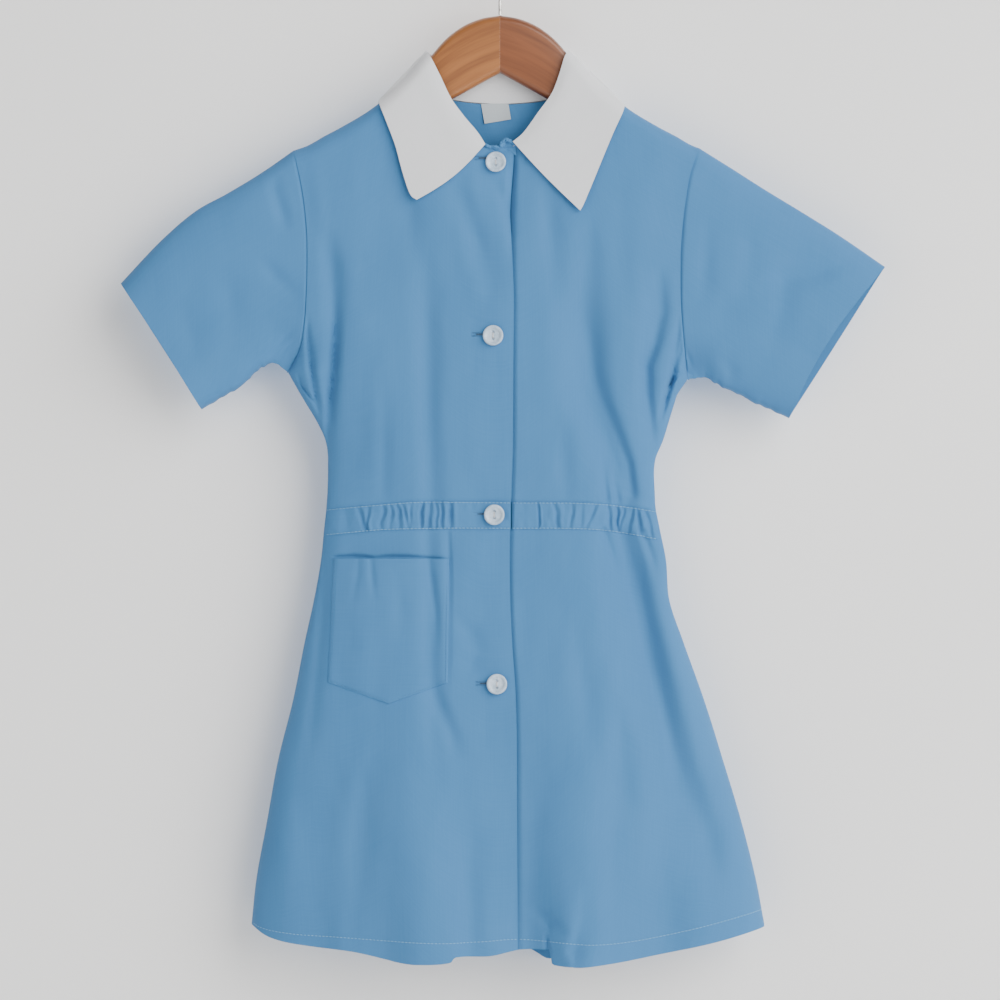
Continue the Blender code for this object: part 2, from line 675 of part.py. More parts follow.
def button_tilt(x, drop):
    """Tilt of the front's surface about X at a place, from its depth above and below."""
    reach = BUTTON["radius"]
    rise = half_depth(x, drop + reach, "front") - half_depth(x, drop - reach, "front")
    return math.atan2(float(rise), 2 * reach)


def button_seat(x, drop, tilt, lift):
    """Distance out of a button's back, clear of the cloth all round its rim."""
    angle = np.linspace(0, 2 * math.pi, SEAT_STEPS, endpoint=False)
    ring_x = x + BUTTON["radius"] * np.cos(angle)
    ring_drop = drop + BUTTON["radius"] * np.sin(angle)
    plane = (ring_drop - drop) * math.tan(tilt)
    highest = float(np.max(half_depth(ring_x, ring_drop, "front") - plane))
    return highest + SEAM_GAP / 2 + lift + BUTTON["clear"]


def make_button(number, place, material, group, cutters):
    """Turned button with a raised rim and two holes, one above the other."""
    x, drop = place
    lift = LAY_GAP + BAND_WALL + GATHER_DEPTH if number == BUTTON_ON_BAND else 0.0
    tilt = button_tilt(x, drop)
    out = button_seat(x, drop, tilt, lift)
    radius = BUTTON["radius"]
    rim = BUTTON["rim"]
    profile = ((0, BUTTON["dish_height"]), (radius - rim - 0.8, BUTTON["dish_height"]),
               (radius - rim, BUTTON["rim_height"]), (radius - 0.5, BUTTON["rim_height"]),
               (radius, BUTTON["rim_height"] - 0.6), (radius - 0.3, 0.3), (radius - 0.8, 0), (0, 0))
    mesh = bpy.data.meshes.new(f"button_{number + 1}")
    edges = [(i, i + 1) for i in range(len(profile) - 1)]
    mesh.from_pydata([(r * MM, 0, h * MM) for r, h in profile], edges, [])
    item = add_object(f"button_{number + 1}", mesh, material, group)
    item.location = (x * MM, -out * MM, -drop * MM)
    item.rotation_euler = (math.pi / 2 - tilt, 0, 0)
    screw = item.modifiers.new("turn", "SCREW")
    screw.steps = BUTTON_SIDES
    screw.render_steps = BUTTON_SIDES
    screw.use_merge_vertices = True
    screw.merge_threshold = BUTTON_TURN_MERGE
    for sign in (-1, 1):
        bpy.ops.mesh.primitive_cylinder_add(
            vertices=HOLE_SIDES, radius=BUTTON["hole"] * MM, depth=HOLE_LENGTH * MM)
        cutter = bpy.context.object
        cutter.name = f"button_hole_{number + 1}_{'upper' if sign > 0 else 'lower'}"
        for owner in list(cutter.users_collection):
            owner.objects.unlink(cutter)
        cutters.objects.link(cutter)
        height = sign * BUTTON["hole_apart"] * MM
        cutter.location = (x * MM, (-out + height / MM * math.sin(tilt)) * MM, -drop * MM + height)
        cutter.rotation_euler = item.rotation_euler
        cutter.hide_render = True
        cutter.display_type = "WIRE"
        cut = item.modifiers.new("hole", "BOOLEAN")
        cut.operation = "DIFFERENCE"
        cut.object = cutter
    return item


def wood_arm(name, sign, material, group):
    """Hanger arm: rounded sections carried out from the middle joint to the tip."""
    half = WOOD_THICK / 2
    corner = WOOD_SECTION // 2
    angle = np.linspace(0, math.pi, corner)
    rings = []
    for across, top, foot in zip(WOOD["across"], WOOD["top"], WOOD["foot"]):
        bend = min(WOOD_ROUND, (foot - top) * WOOD_ROUND_SHARE) * (1 - np.sin(angle))
        upper = np.stack([np.cos(angle) * half, top + bend], axis=-1)
        lower = np.stack([-np.cos(angle) * half, foot - bend], axis=-1)
        section = np.concatenate([upper, lower])
        if across >= WOOD["across"][-1]:
            middle = section.mean(axis=0)
            section = middle + (section - middle) * WOOD_TIP
        place = sign * max(across, SEAM_GAP / 3)
        rings.append([(place, y, -drop) for y, drop in section])
    points = np.array(rings)
    rows, columns = points.shape[:2]
    faces = grid_faces(rows, columns, 0, True, sign > 0)
    first = list(range(columns))
    last = [(rows - 1) * columns + i for i in range(columns)]
    faces += [first, last[::-1]] if sign < 0 else [first[::-1], last]
    mesh = bpy.data.meshes.new(name)
    mesh.from_pydata((points.reshape(-1, 3) * MM).tolist(), [], faces)
    mesh.shade_smooth()
    return add_object(name, mesh, material, group)


def wire_hook(material, group):
    """Hook of round wire: a straight shank, a bend and an open loop round the rail."""
    middle = HOOK_RADIUS + WIRE / 2
    wood_top = WOOD["top"][0]
    start = math.radians(HOOK_START)
    arc = [(middle * math.cos(a), HOOK_RADIUS - middle * math.sin(a))
           for a in np.linspace(start, math.radians(HOOK_STOP), HOOK_STEPS)]
    shank = [(0.0, wood_top - 0.3), (0.0, (wood_top + SHANK_BEND) / 2), (0.0, SHANK_BEND + 3.0)]
    joint_x, joint_drop = arc[0]
    bend = [(joint_x * 0.22, SHANK_BEND - 1.5), (joint_x * 0.6, (SHANK_BEND + joint_drop) / 2 - 1.0)]
    route = shank + bend + arc
    curve = bpy.data.curves.new("hanger_hook", "CURVE")
    curve.dimensions = "3D"
    curve.bevel_depth = WIRE / 2 * MM
    curve.bevel_resolution = 2
    curve.use_fill_caps = True
    spline = curve.splines.new("POLY")
    spline.points.add(len(route) - 1)
    for point, (x, drop) in zip(spline.points, route):
        point.co = (x * MM, 0, -drop * MM, 1)
    curve.materials.append(material)
    item = bpy.data.objects.new("hanger_hook", curve)
    group.objects.link(item)
    return item


def build():
    """Make every piece of the dress and its hanger."""
    clear_scene()
    parts = collection("uniform_dress")
    cutters = collection("cutters")
    cotton = finish("blue_cotton", (0.156, 0.328, 0.503), 0.85)
    white = finish("white_cotton", (0.58, 0.59, 0.61), 0.8)
    tag = finish("woven_label", (0.5, 0.54, 0.57), 0.7)
    pearl = finish("white_button", (0.72, 0.72, 0.74), 0.3)
    wood = finish("varnished_wood", (0.40, 0.19, 0.09), 0.45)
    steel = finish("bright_wire", (0.6, 0.6, 0.6), 0.3, 1.0)

    over = front_panel("left")
    under = front_panel("right")
    back = back_panel()
    cloth_sheet("front_right", over, cotton, parts, flip=True)
    cloth_sheet("front_left", under, cotton, parts)
    cloth_sheet("back", back, cotton, parts, flip=True)
    cloth_sheet("sleeve_right", sleeve_tube("left", over, back), cotton, parts, wrap=True)
    cloth_sheet("sleeve_left", sleeve_tube("right", under, back), cotton, parts, wrap=True, flip=True)
    cloth_sheet("collar", collar_sheet(), white, parts, COLLAR_WALL, 0.0, even=False)

    front = (0, -1, 0)
    visible = under[:, LAP_COLUMNS:]
    inner, outer = band_strip(over, RIGHT_GATHERS, front)
    cloth_slab("waist_band_right_front", inner, outer, cotton, parts, flip=True)
    inner, outer = band_strip(visible, LEFT_GATHERS, front, BAND_TRIM)
    cloth_slab("waist_band_left_front", inner, outer, cotton, parts)
    inner, outer = band_strip(back, BACK_GATHERS, (0, 1, 0))
    cloth_slab("waist_band_back", inner, outer, cotton, parts, flip=True)
    inner, outer = pocket_patch(over)
    cloth_slab("pocket", inner, outer, cotton, parts)
    outer, inner = label_slab(back)
    cloth_slab("label", inner, outer, tag, parts, flip=True)

    for number, place in enumerate(BUTTON_PLACES):
        make_button(number, place, pearl, parts, cutters)
    wood_arm("hanger_arm_right", -1, wood, parts)
    wood_arm("hanger_arm_left", 1, wood, parts)
    wire_hook(steel, parts)


build()
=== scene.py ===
"""Looks of a child's button-front uniform dress, hung flat on a wooden hanger.

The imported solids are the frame: metres, +Z up, the front faces -Y and the wearer's right is
at -X. The tables are in millimetres, and "drop" is the distance below the hook's crown, so
z = -drop. Cloth is a closed thin shell worked out on a grid over the same form as the solids.
"""

import logging
import math
from dataclasses import dataclass
from enum import Enum
from typing import Any, Callable, Sequence, Union

import bpy
import numpy as np
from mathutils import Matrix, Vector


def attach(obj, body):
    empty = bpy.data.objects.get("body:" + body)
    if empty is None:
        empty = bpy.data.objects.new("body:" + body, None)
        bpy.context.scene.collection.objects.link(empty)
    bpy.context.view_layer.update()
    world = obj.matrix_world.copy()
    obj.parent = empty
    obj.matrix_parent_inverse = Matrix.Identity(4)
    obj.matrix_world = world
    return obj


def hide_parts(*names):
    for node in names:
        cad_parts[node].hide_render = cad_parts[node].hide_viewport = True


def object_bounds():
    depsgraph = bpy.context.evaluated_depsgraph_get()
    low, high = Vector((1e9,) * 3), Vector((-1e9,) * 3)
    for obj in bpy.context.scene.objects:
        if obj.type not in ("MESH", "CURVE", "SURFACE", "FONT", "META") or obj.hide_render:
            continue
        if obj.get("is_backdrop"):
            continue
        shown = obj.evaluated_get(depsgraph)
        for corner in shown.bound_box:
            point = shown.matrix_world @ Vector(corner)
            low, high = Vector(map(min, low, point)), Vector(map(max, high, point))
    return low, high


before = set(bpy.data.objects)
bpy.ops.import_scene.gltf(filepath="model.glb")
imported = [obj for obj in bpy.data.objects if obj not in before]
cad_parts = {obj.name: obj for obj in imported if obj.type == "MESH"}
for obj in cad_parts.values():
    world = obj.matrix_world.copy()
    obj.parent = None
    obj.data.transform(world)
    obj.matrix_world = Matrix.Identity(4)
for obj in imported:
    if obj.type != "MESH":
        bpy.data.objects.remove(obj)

log = logging.getLogger("dress")
Array = np.ndarray
Number = Union[float, Array]
MM = 0.001
WALL = 0.6
TINY = 1e-9
AHEAD = np.array([0, -1.0, 0])
UP = np.array([0, 0, 1.0])


class Face(Enum):
    """Face of the flat-hung dress, with the sign of its Y."""

    FRONT = -1.0
    BACK = 1.0


class Hand(Enum):
    """Side of the wearer, with the sign of its X."""

    RIGHT = -1.0
    LEFT = 1.0


def smooth(value: Number) -> Array:
    """Ease from 0 to 1 with level ends: t * t * (3 - 2 t) on the clipped value."""
    held = np.clip(value, 0.0, 1.0)
    return held * held * (3.0 - 2.0 * held)


def unit(vectors: Array) -> Array:
    """Vectors divided by their own lengths."""
    return vectors / np.maximum(np.linalg.norm(vectors, axis=-1, keepdims=True), TINY)


def lengths(points: Array, axis: int) -> Array:
    """Running length along one axis of a grid of points, from 0."""
    steps = np.linalg.norm(np.diff(points, axis=axis), axis=-1)
    start = np.zeros_like(np.take(steps, [0], axis=axis))
    return np.cumsum(np.concatenate([start, steps], axis=axis), axis=axis)


@dataclass(frozen=True)
class Curve:
    """Smooth line through a table's rows, without overshoot at them."""

    places: tuple[float, ...]
    values: tuple[float, ...]

    def at(self, where: Number) -> Array:
        """Height of the line at places: cubic pieces whose slopes are the neighbours' mean.

        Args:
            where: places along the table.

        Returns:
            The line's value at each place.
        """
        places = np.asarray(self.places, float)
        values = np.asarray(self.values, float)
        at = np.clip(np.asarray(where, float), places[0], places[-1])
        slope = np.diff(values) / np.diff(places)
        tangent = np.concatenate(([slope[0]], (slope[1:] + slope[:-1]) / 2, [slope[-1]]))
        tangent[1:-1][slope[1:] * slope[:-1] <= 0] = 0
        row = np.clip(np.searchsorted(places, at, side="right") - 1, 0, len(places) - 2)
        step = places[row + 1] - places[row]
        t = (at - places[row]) / step
        rise = values[row + 1] - values[row]
        start = tangent[row] * step
        end = tangent[row + 1] * step
        return values[row] + t * (start + t * (3 * rise - 2 * start - end
                                               + t * (start + end - 2 * rise)))


@dataclass(frozen=True)
class SoftNoise:
    """Slow uneven relief: random heights on a lattice, eased between its points."""

    cell: tuple[float, float]
    height: float
    seed: int

    def at(self, x: Array, drop: Array) -> Array:
        """Height of the relief at places across and down.

        Args:
            x: places across, in millimetres.
            drop: places down, in millimetres.

        Returns:
            Heights from -height to height.
        """
        lattice = np.random.default_rng(self.seed).uniform(-1, 1, (64, 64))
        across = np.asarray(x, float) / self.cell[0] + 32
        down = np.asarray(drop, float) / self.cell[1]
        column = np.floor(across).astype(int)
        row = np.floor(down).astype(int)
        s = smooth(across - column)
        t = smooth(down - row)
        upper = lattice[row % 64, column % 64] * (1 - s) + lattice[row % 64, (column + 1) % 64] * s
        lower = (lattice[(row + 1) % 64, column % 64] * (1 - s)
                 + lattice[(row + 1) % 64, (column + 1) % 64] * s)
        return self.height * (upper * (1 - t) + lower * t)


@dataclass(frozen=True)
class Fold:
    """Large fold, as in the solids: rows of drop, place across, half width and depth."""

    rows: tuple[tuple[float, float, float, float], ...]
    left_flank: float = 1.0

    def depth(self, x: Array, drop: Array) -> Array:
        """Depth inwards: a bell across, whose line, width and depth follow the drop."""
        drops, lines, widths, depths = zip(*self.rows)
        line = Curve(drops, lines).at(drop)
        width = Curve(drops, widths).at(drop) * np.where(x < line, self.left_flank, 1.0)
        inside = (drop >= drops[0]) & (drop <= drops[-1])
        depth = np.where(inside, Curve(drops, depths).at(drop), 0.0)
        return depth * np.exp(-((x - line) / width) ** 2)


@dataclass(frozen=True)
class Crease:
    """Crease along a path of stops: across, drop, half width and depth inwards."""

    stops: tuple[tuple[float, float, float, float], ...]
    lean: float = 0.0

    def depth(self, x: Array, drop: Array) -> Array:
        """Depth inwards: a bell over the distance to the nearest piece of the path.

        A lean widens one flank and narrows the other, as on a fold that lies over.

        Args:
            x: places across, in millimetres.
            drop: places down, in millimetres.

        Returns:
            The depth at each place.
        """
        nearest = np.full(np.shape(x), np.inf)
        total = np.zeros(np.shape(x))
        for first, second in zip(self.stops[:-1], self.stops[1:]):
            run = np.array([second[0] - first[0], second[1] - first[1]])
            size = float(run @ run)
            along = np.clip(((x - first[0]) * run[0] + (drop - first[1]) * run[1]) / size, 0, 1)
            away_x = x - first[0] - along * run[0]
            away_drop = drop - first[1] - along * run[1]
            away = np.hypot(away_x, away_drop)
            side = np.sign(away_x * run[1] - away_drop * run[0])
            width = (first[2] + along * (second[2] - first[2])) * (1 + self.lean * side)
            depth = first[3] + along * (second[3] - first[3])
            closer = away < nearest
            total = np.where(closer, depth * np.exp(-(away / width) ** 2), total)
            nearest = np.where(closer, away, nearest)
        return total


def total_depth(reliefs: Sequence[Union[Fold, Crease]], x: Array, drop: Array) -> Array:
    """Sum of the depths of folds and creases."""
    total = np.zeros(np.broadcast(x, drop).shape)
    for relief in reliefs:
        total = total + relief.depth(x, drop)
    return total


def grid_normals(points: Array, outward: Array) -> Array:
    """Unit normals of a grid of points, turned to the side that outward points to.

    Args:
        points: grid of points.
        outward: one direction, or one for each point.

    Returns:
        The normals, as a grid of vectors.
    """
    normal = unit(np.cross(np.gradient(points, axis=0), np.gradient(points, axis=1)))
    side = np.sign(np.sum(normal * outward, axis=-1).mean())
    return normal * side


def grid_quads(index: Array, wrap: bool) -> Array:
    """Quads over a grid of vertex numbers, closed round its columns if wrapped."""
    if wrap:
        index = np.concatenate([index, index[:, :1]], axis=1)
    quads = [index[:-1, :-1], index[1:, :-1], index[1:, 1:], index[:-1, 1:]]
    return np.stack(quads, axis=-1).reshape(-1, 4)


def tube_quads(rows: int, columns: int) -> Array:
    """Quads of a tube of rings, with a flat cap across each end."""
    index = np.arange(rows * columns).reshape(rows, columns)
    quads = [grid_quads(index, True)]
    half = columns // 2
    for row in (index[0], index[-1][::-1]):
        back = row[::-1]
        cap = [row[:half - 1], back[:half - 1], back[1:half], row[1:half]]
        quads.append(np.stack(cap, axis=-1))
    return np.concatenate(quads)


def edge_loops(index: Array, wrap: bool) -> list[Array]:
    """Loops of vertex numbers round a grid: its whole border, or its two end rows."""
    if wrap:
        return [index[0], index[-1][::-1]]
    border = [index[0, :-1], index[:-1, -1], index[-1, :0:-1], index[:0:-1, 0]]
    return [np.concatenate(border)]


def signed_volume(points: Array, quads: Array) -> float:
    """Volume inside a closed mesh of quads, negative where it is inside out."""
    a, b, c, d = (points[quads[:, i]] for i in range(4))
    first = np.sum(a * np.cross(b, c), axis=-1)
    second = np.sum(a * np.cross(c, d), axis=-1)
    return float((first + second).sum() / 6)


class Mesh:
    """Mesh of one piece, filled from arrays in millimetres."""

    def __init__(self, name: str, points: Array, quads: Array) -> None:
        """Make the mesh with its faces turned outwards."""
        centred = points - points.mean(axis=0)
        if signed_volume(centred, quads) < 0:
            quads = quads[:, ::-1]
        self.mesh = bpy.data.meshes.new(name)
        self.mesh.vertices.add(len(points))
        self.mesh.vertices.foreach_set("co", (points * MM).ravel())
        self.mesh.loops.add(quads.size)
        self.mesh.loops.foreach_set("vertex_index", quads.ravel().astype(np.int32))
        self.mesh.polygons.add(len(quads))
        self.mesh.polygons.foreach_set("loop_start", np.arange(0, quads.size, 4, dtype=np.int32))
        self.mesh.polygons.foreach_set("use_smooth", np.ones(len(quads), bool))
        self.mesh.update(calc_edges=True)
        self.mesh.validate()
        self.piece = bpy.data.objects.new(name, self.mesh)
        bpy.context.scene.collection.objects.link(self.piece)

    def vector(self, name: str, values: Array) -> "Mesh":
        """Store one vector for each vertex, for the materials."""
        layer = self.mesh.attributes.new(name, "FLOAT_VECTOR", "POINT")
        layer.data.foreach_set("vector", np.asarray(values, np.float32).ravel())
        return self

    def dress(self, material: bpy.types.Material, slot: str, nodes: Sequence[str] = (),
              sharp: float = 55.0) -> bpy.types.Object:
        """Give the piece its finish, its body and the nodes that it stands for.

        Args:
            material: the finish.
            slot: not used.
            nodes: nodes of the solids that the piece replaces.
            sharp: angle in degrees past which an edge is drawn crisp.

        Returns:
            The finished object.
        """
        self.mesh.materials.append(material)
        self.mesh.set_sharp_from_angle(angle=math.radians(sharp))
        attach(self.piece, "root")
        if nodes:
            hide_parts(*nodes)
        log.info("%s: %d faces", self.piece.name, len(self.mesh.polygons))
        return self.piece


@dataclass
class Cloth:
    """Cloth shell between an outer grid and an inner one a wall's thickness inside it."""

    name: str
    outer: Array
    outward: Array
    wall: Number = WALL
    wrap: bool = False

    def build(self) -> Mesh:
        """Close the shell round its edges and store the run of its threads.

        Returns:
            The mesh, with the lengths along the cloth in the attribute "weave".
        """
        normal = grid_normals(self.outer, self.outward)
        inner = self.outer - normal * np.broadcast_to(self.wall, self.outer.shape[:2])[..., None]
        rows, columns = self.outer.shape[:2]
        count = rows * columns
        index = np.arange(count).reshape(rows, columns)
        quads = [grid_quads(index, self.wrap), grid_quads(index + count, self.wrap)[:, ::-1]]
        for loop in edge_loops(index, self.wrap):
            following = np.roll(loop, -1)
            wall = np.stack([following, loop, loop + count, following + count], axis=-1)
            quads.append(wall[:, ::-1])
        points = np.concatenate([self.outer.reshape(-1, 3), inner.reshape(-1, 3)])
        run = np.stack([lengths(self.outer, 1), lengths(self.outer, 0),
                        np.zeros((rows, columns))], axis=-1).reshape(-1, 3) * MM
        return Mesh(self.name, points, np.concatenate(quads)).vector(
            "weave", np.concatenate([run, run + [0.5, 0.3, 0]]))

    def make(self, material: bpy.types.Material, slot: str, nodes: Sequence[str],
             rests_on: Sequence[str], held: str = "hung") -> None:
        """Build the piece; its greatest width and length and its area, measured flat, are worked
        out but not kept.

        Args:
            material: the finish.
            slot: material slot of the record.
            nodes: nodes of the solids that the piece replaces.
            rests_on: not used.
            held: not used.
        """
        piece = self.build().dress(material, slot, nodes)
        ring = np.concatenate([self.outer, self.outer[:, :1]], axis=1) if self.wrap else self.outer
        width = lengths(ring, 1)[:, -1].max() * MM
        length = lengths(ring, 0)[-1].max() * MM
        across = np.diff(ring, axis=1)[:-1]
        down = np.diff(ring, axis=0)[:, :-1]
        area = np.linalg.norm(np.cross(across, down), axis=-1).sum() * MM * MM
        area = float(np.clip(area, 0.31 * width * length, width * length))


@dataclass(frozen=True)
class BodyForm:
    """Form of the hanging body: its outline, depth, neck, waist and hem, as in the solids."""

    tip_drop: float = 168.0
    neck_side: float = 69.4
    under_right: float = 330.0
    under_left: float = 335.0
    under_ease: float = 14.0
    ridge_radius: float = 9.0
    ridge_slope: float = 0.8
    swell: float = 130.0
    arm_depth: float = 13.0
    arm_round: float = 60.0
    arm_start: float = 1.5
    pillow: float = 4.2
    fold_ease: float = 0.16
    seam_ease: float = 0.025
    crease_gain: float = 1.6
    seam_lap: float = -0.15
    lap_step: float = 1.7
    lap_clear: float = 0.2
    lap_rise: float = 2.8
    side_right: Curve = Curve(
        (330, 343, 354, 365, 380, 394, 423, 445, 467, 496, 526, 569, 613, 657, 701, 733),
        (-154.8, -147.5, -141, -134.3, -127.4, -125.6, -126.3, -128.5, -130.7, -135.8,
         -142.4, -151, -162, -170, -178, -181.4))
    side_left: Curve = Curve(
        (330, 343, 354, 365, 380, 394, 423, 445, 467, 496, 526, 569, 613, 657, 701, 733),
        (137, 130.5, 127, 123.6, 119, 113.4, 113.2, 116.8, 121.2, 123.6,
         133.6, 149, 162.8, 176, 187, 193))
    armhole_right: Curve = Curve(
        (0, 0.1, 0.22, 0.38, 0.5, 0.67, 0.79, 0.9, 1),
        (-150.5, -146.6, -143, -140.5, -140.2, -140.9, -142.4, -146.2, -154.8))
    armhole_left: Curve = Curve(
        (0, 0.1, 0.22, 0.38, 0.5, 0.67, 0.79, 0.9, 1),
        (145.3, 139.2, 135.4, 132.3, 131.4, 131.6, 133, 135, 137))
    depth_front: Curve = Curve(
        (168, 200, 250, 330, 380, 424, 450, 520, 600, 680, 760),
        (9, 12, 15, 18, 18, 15, 15, 21, 27, 32, 36))
    depth_back: Curve = Curve(
        (168, 200, 250, 330, 380, 424, 450, 520, 600, 680, 760),
        (9, 11, 12, 14, 14, 13, 13, 17, 21, 25, 28))
    ridge: Curve = Curve(
        (0, 29, 52.5, 69.4, 93.4, 117, 128, 140, 150.5),
        (66, 78, 98, 117.4, 137.5, 151.8, 157.6, 164.4, 168.2))
    front_neck: Curve = Curve(
        (0, 11, 28, 44, 58, 66, 69.4),
        (166.5, 166, 158, 146, 131, 121.5, 117.4))
    back_neck: Curve = Curve((0, 33, 52, 64, 69.4), (134.6, 131.3, 125.5, 120, 117.4))
    band_top: Curve = Curve(
        (-130, -87, -55, 10, 73, 95, 120), (430, 426, 424, 424.4, 425.5, 428, 432))
    band_foot: Curve = Curve(
        (-130, -87, -55, 10, 73, 95, 120), (450, 446, 445, 444.9, 446, 449, 454))
    hem: Curve = Curve(
        (-182, -171, -160, -138, -106, -84, -73, -60, -41, -35.4, -34.6, -33.2, -32.4, -7, 14.6,
         30, 35.6, 36.2, 37.6, 38.2, 39, 57, 80, 113, 157, 194),
        (732, 739.5, 743.3, 746.9, 750.5, 755.2, 757.7, 759, 758.4, 757.4, 757, 754.2, 754, 753.3,
         749, 748.6,
         748.6, 748.8, 759, 759.3, 759.5, 760.8, 758.7, 753, 744, 734))
    hem_behind: Curve = Curve(
        (-182, -160, -106, -84, -60, -41, -30, -7, 14, 19, 26, 36, 42, 80, 113, 157, 194),
        (731, 741.5, 748.5, 752.5, 756, 755.5, 751.5, 751, 749, 751, 755, 760.4, 759, 756, 750.5,
         741.5, 732))
    front_hem_seam: Curve = Curve(
        (-180, -175, -153, -117, -80, -36.5, -14.6, 9, 44, 66, 88, 117, 150, 183, 194),
        (731.5, 734, 738, 740.1, 742.3, 743.8, 743.1, 741.6, 743.4, 744.9, 743.8, 739.4, 732.1,
         723.7, 721))
    hem_turn: float = 11.0
    lap_edge: Curve = Curve(
        (160, 178, 197, 215, 233, 248, 277, 330, 390, 424, 467, 500, 533, 560, 590, 640, 752),
        (10, 9.9, 8.4, 7.4, 8.2, 9, 10, 9.6, 9.2, 8.2, 7.0, 7.4, 9, 11, 12, 12.3, 13))

    def hem_line(self, face: Face) -> Curve:
        """Hem of one face."""
        return self.hem if face is Face.FRONT else self.hem_behind

    def hem_seam(self, x: Number, face: Face) -> Array:
        """Drop of the stitches of the hem, which the turned-up cloth reaches."""
        if face is Face.FRONT:
            return self.front_hem_seam.at(x)
        return self.hem_behind.at(x) - self.hem_turn

    def under_drop(self, x: Number) -> Array:
        """Drop of the underarm level, a straight rise between the two sides."""
        middle = (self.under_right + self.under_left) / 2
        rise = (self.under_left - self.under_right) / 2
        return middle + rise * np.clip(np.asarray(x) / self.neck_side, -1, 1)

    def edge(self, drop: Number, hand: Hand) -> Array:
        """Place across of the armhole seam and, below it, of the side seam.

        Args:
            drop: places down.
            hand: side of the wearer.

        Returns:
            Places across; the step between the two seams is eased over a short stretch.
        """
        right = hand is Hand.RIGHT
        under = self.under(hand)
        armhole = self.armhole_right if right else self.armhole_left
        seam = self.side_right if right else self.side_left
        share = (np.asarray(drop, float) - self.tip_drop) / (under - self.tip_drop)
        step = armhole.values[-1] - seam.at(under)
        below = seam.at(np.maximum(drop, under))
        below = below + step * (1 - smooth((drop - under) / self.under_ease))
        return np.where(share < 1, armhole.at(share), below)

    def spread(self, drop: Number) -> tuple[Array, Array]:
        """Middle and half width of the body at a drop."""
        right = self.edge(drop, Hand.RIGHT)
        left = self.edge(drop, Hand.LEFT)
        return (left + right) / 2, (left - right) / 2

    def inward(self, x: Number, drop: Number) -> Array:
        """Distance of places from the nearer side seam."""
        middle, half = self.spread(drop)
        return half - np.abs(x - middle)

    def under(self, hand: Hand) -> float:
        """Drop of the underarm on one side."""
        return self.under_right if hand is Hand.RIGHT else self.under_left

    def depth(self, x: Number, drop: Number, face: Face,
              folds: Sequence[Union[Fold, Crease]]) -> Array:
        """Distance of the cloth's outside from the middle plane, on one face.

        A cap over the ridge of the hanger grows into the body's own section, which is a
        flattened round: depth * (1 - offset ** pillow) ** 0.5. The folds are taken off.

        Args:
            x: places across.
            drop: places down.
            face: front or back.
            folds: folds and creases of that face.

        Returns:
            The distance at each place.
        """
        x, drop = np.broadcast_arrays(np.asarray(x, float), np.asarray(drop, float))
        middle, half = self.spread(drop)
        offset = np.clip(np.abs(x - middle) / half, 0, 1)
        full = (self.depth_front if face is Face.FRONT else self.depth_back).at(drop)
        above = np.clip((self.under_drop(x) - drop) / self.arm_round, 0, 1)
        arm_edge = self.arm_depth * smooth(above * self.arm_start)
        pillow = (1 - offset ** self.pillow) ** (0.5 + 0.5 * smooth(above))
        body = arm_edge + (full - arm_edge) * pillow
        below = (drop - self.ridge.at(np.abs(x))) * self.ridge_slope
        near = np.clip(below / self.ridge_radius, 0, 1)
        cap = self.ridge_radius * np.sqrt(1 - (1 - near) ** 2)
        grown = smooth(below / self.swell)
        large = [fold for fold in folds if isinstance(fold, Fold)]
        small = [fold for fold in folds if isinstance(fold, Crease)]
        folded = total_depth(large, x, drop) * smooth((1 - offset) / self.fold_ease)
        creased = self.crease_gain * total_depth(small, x, drop)
        creased = creased * smooth((1 - offset) / self.seam_ease)
        return cap * (1 - grown) + body * grown - folded - creased * smooth(below / 6)


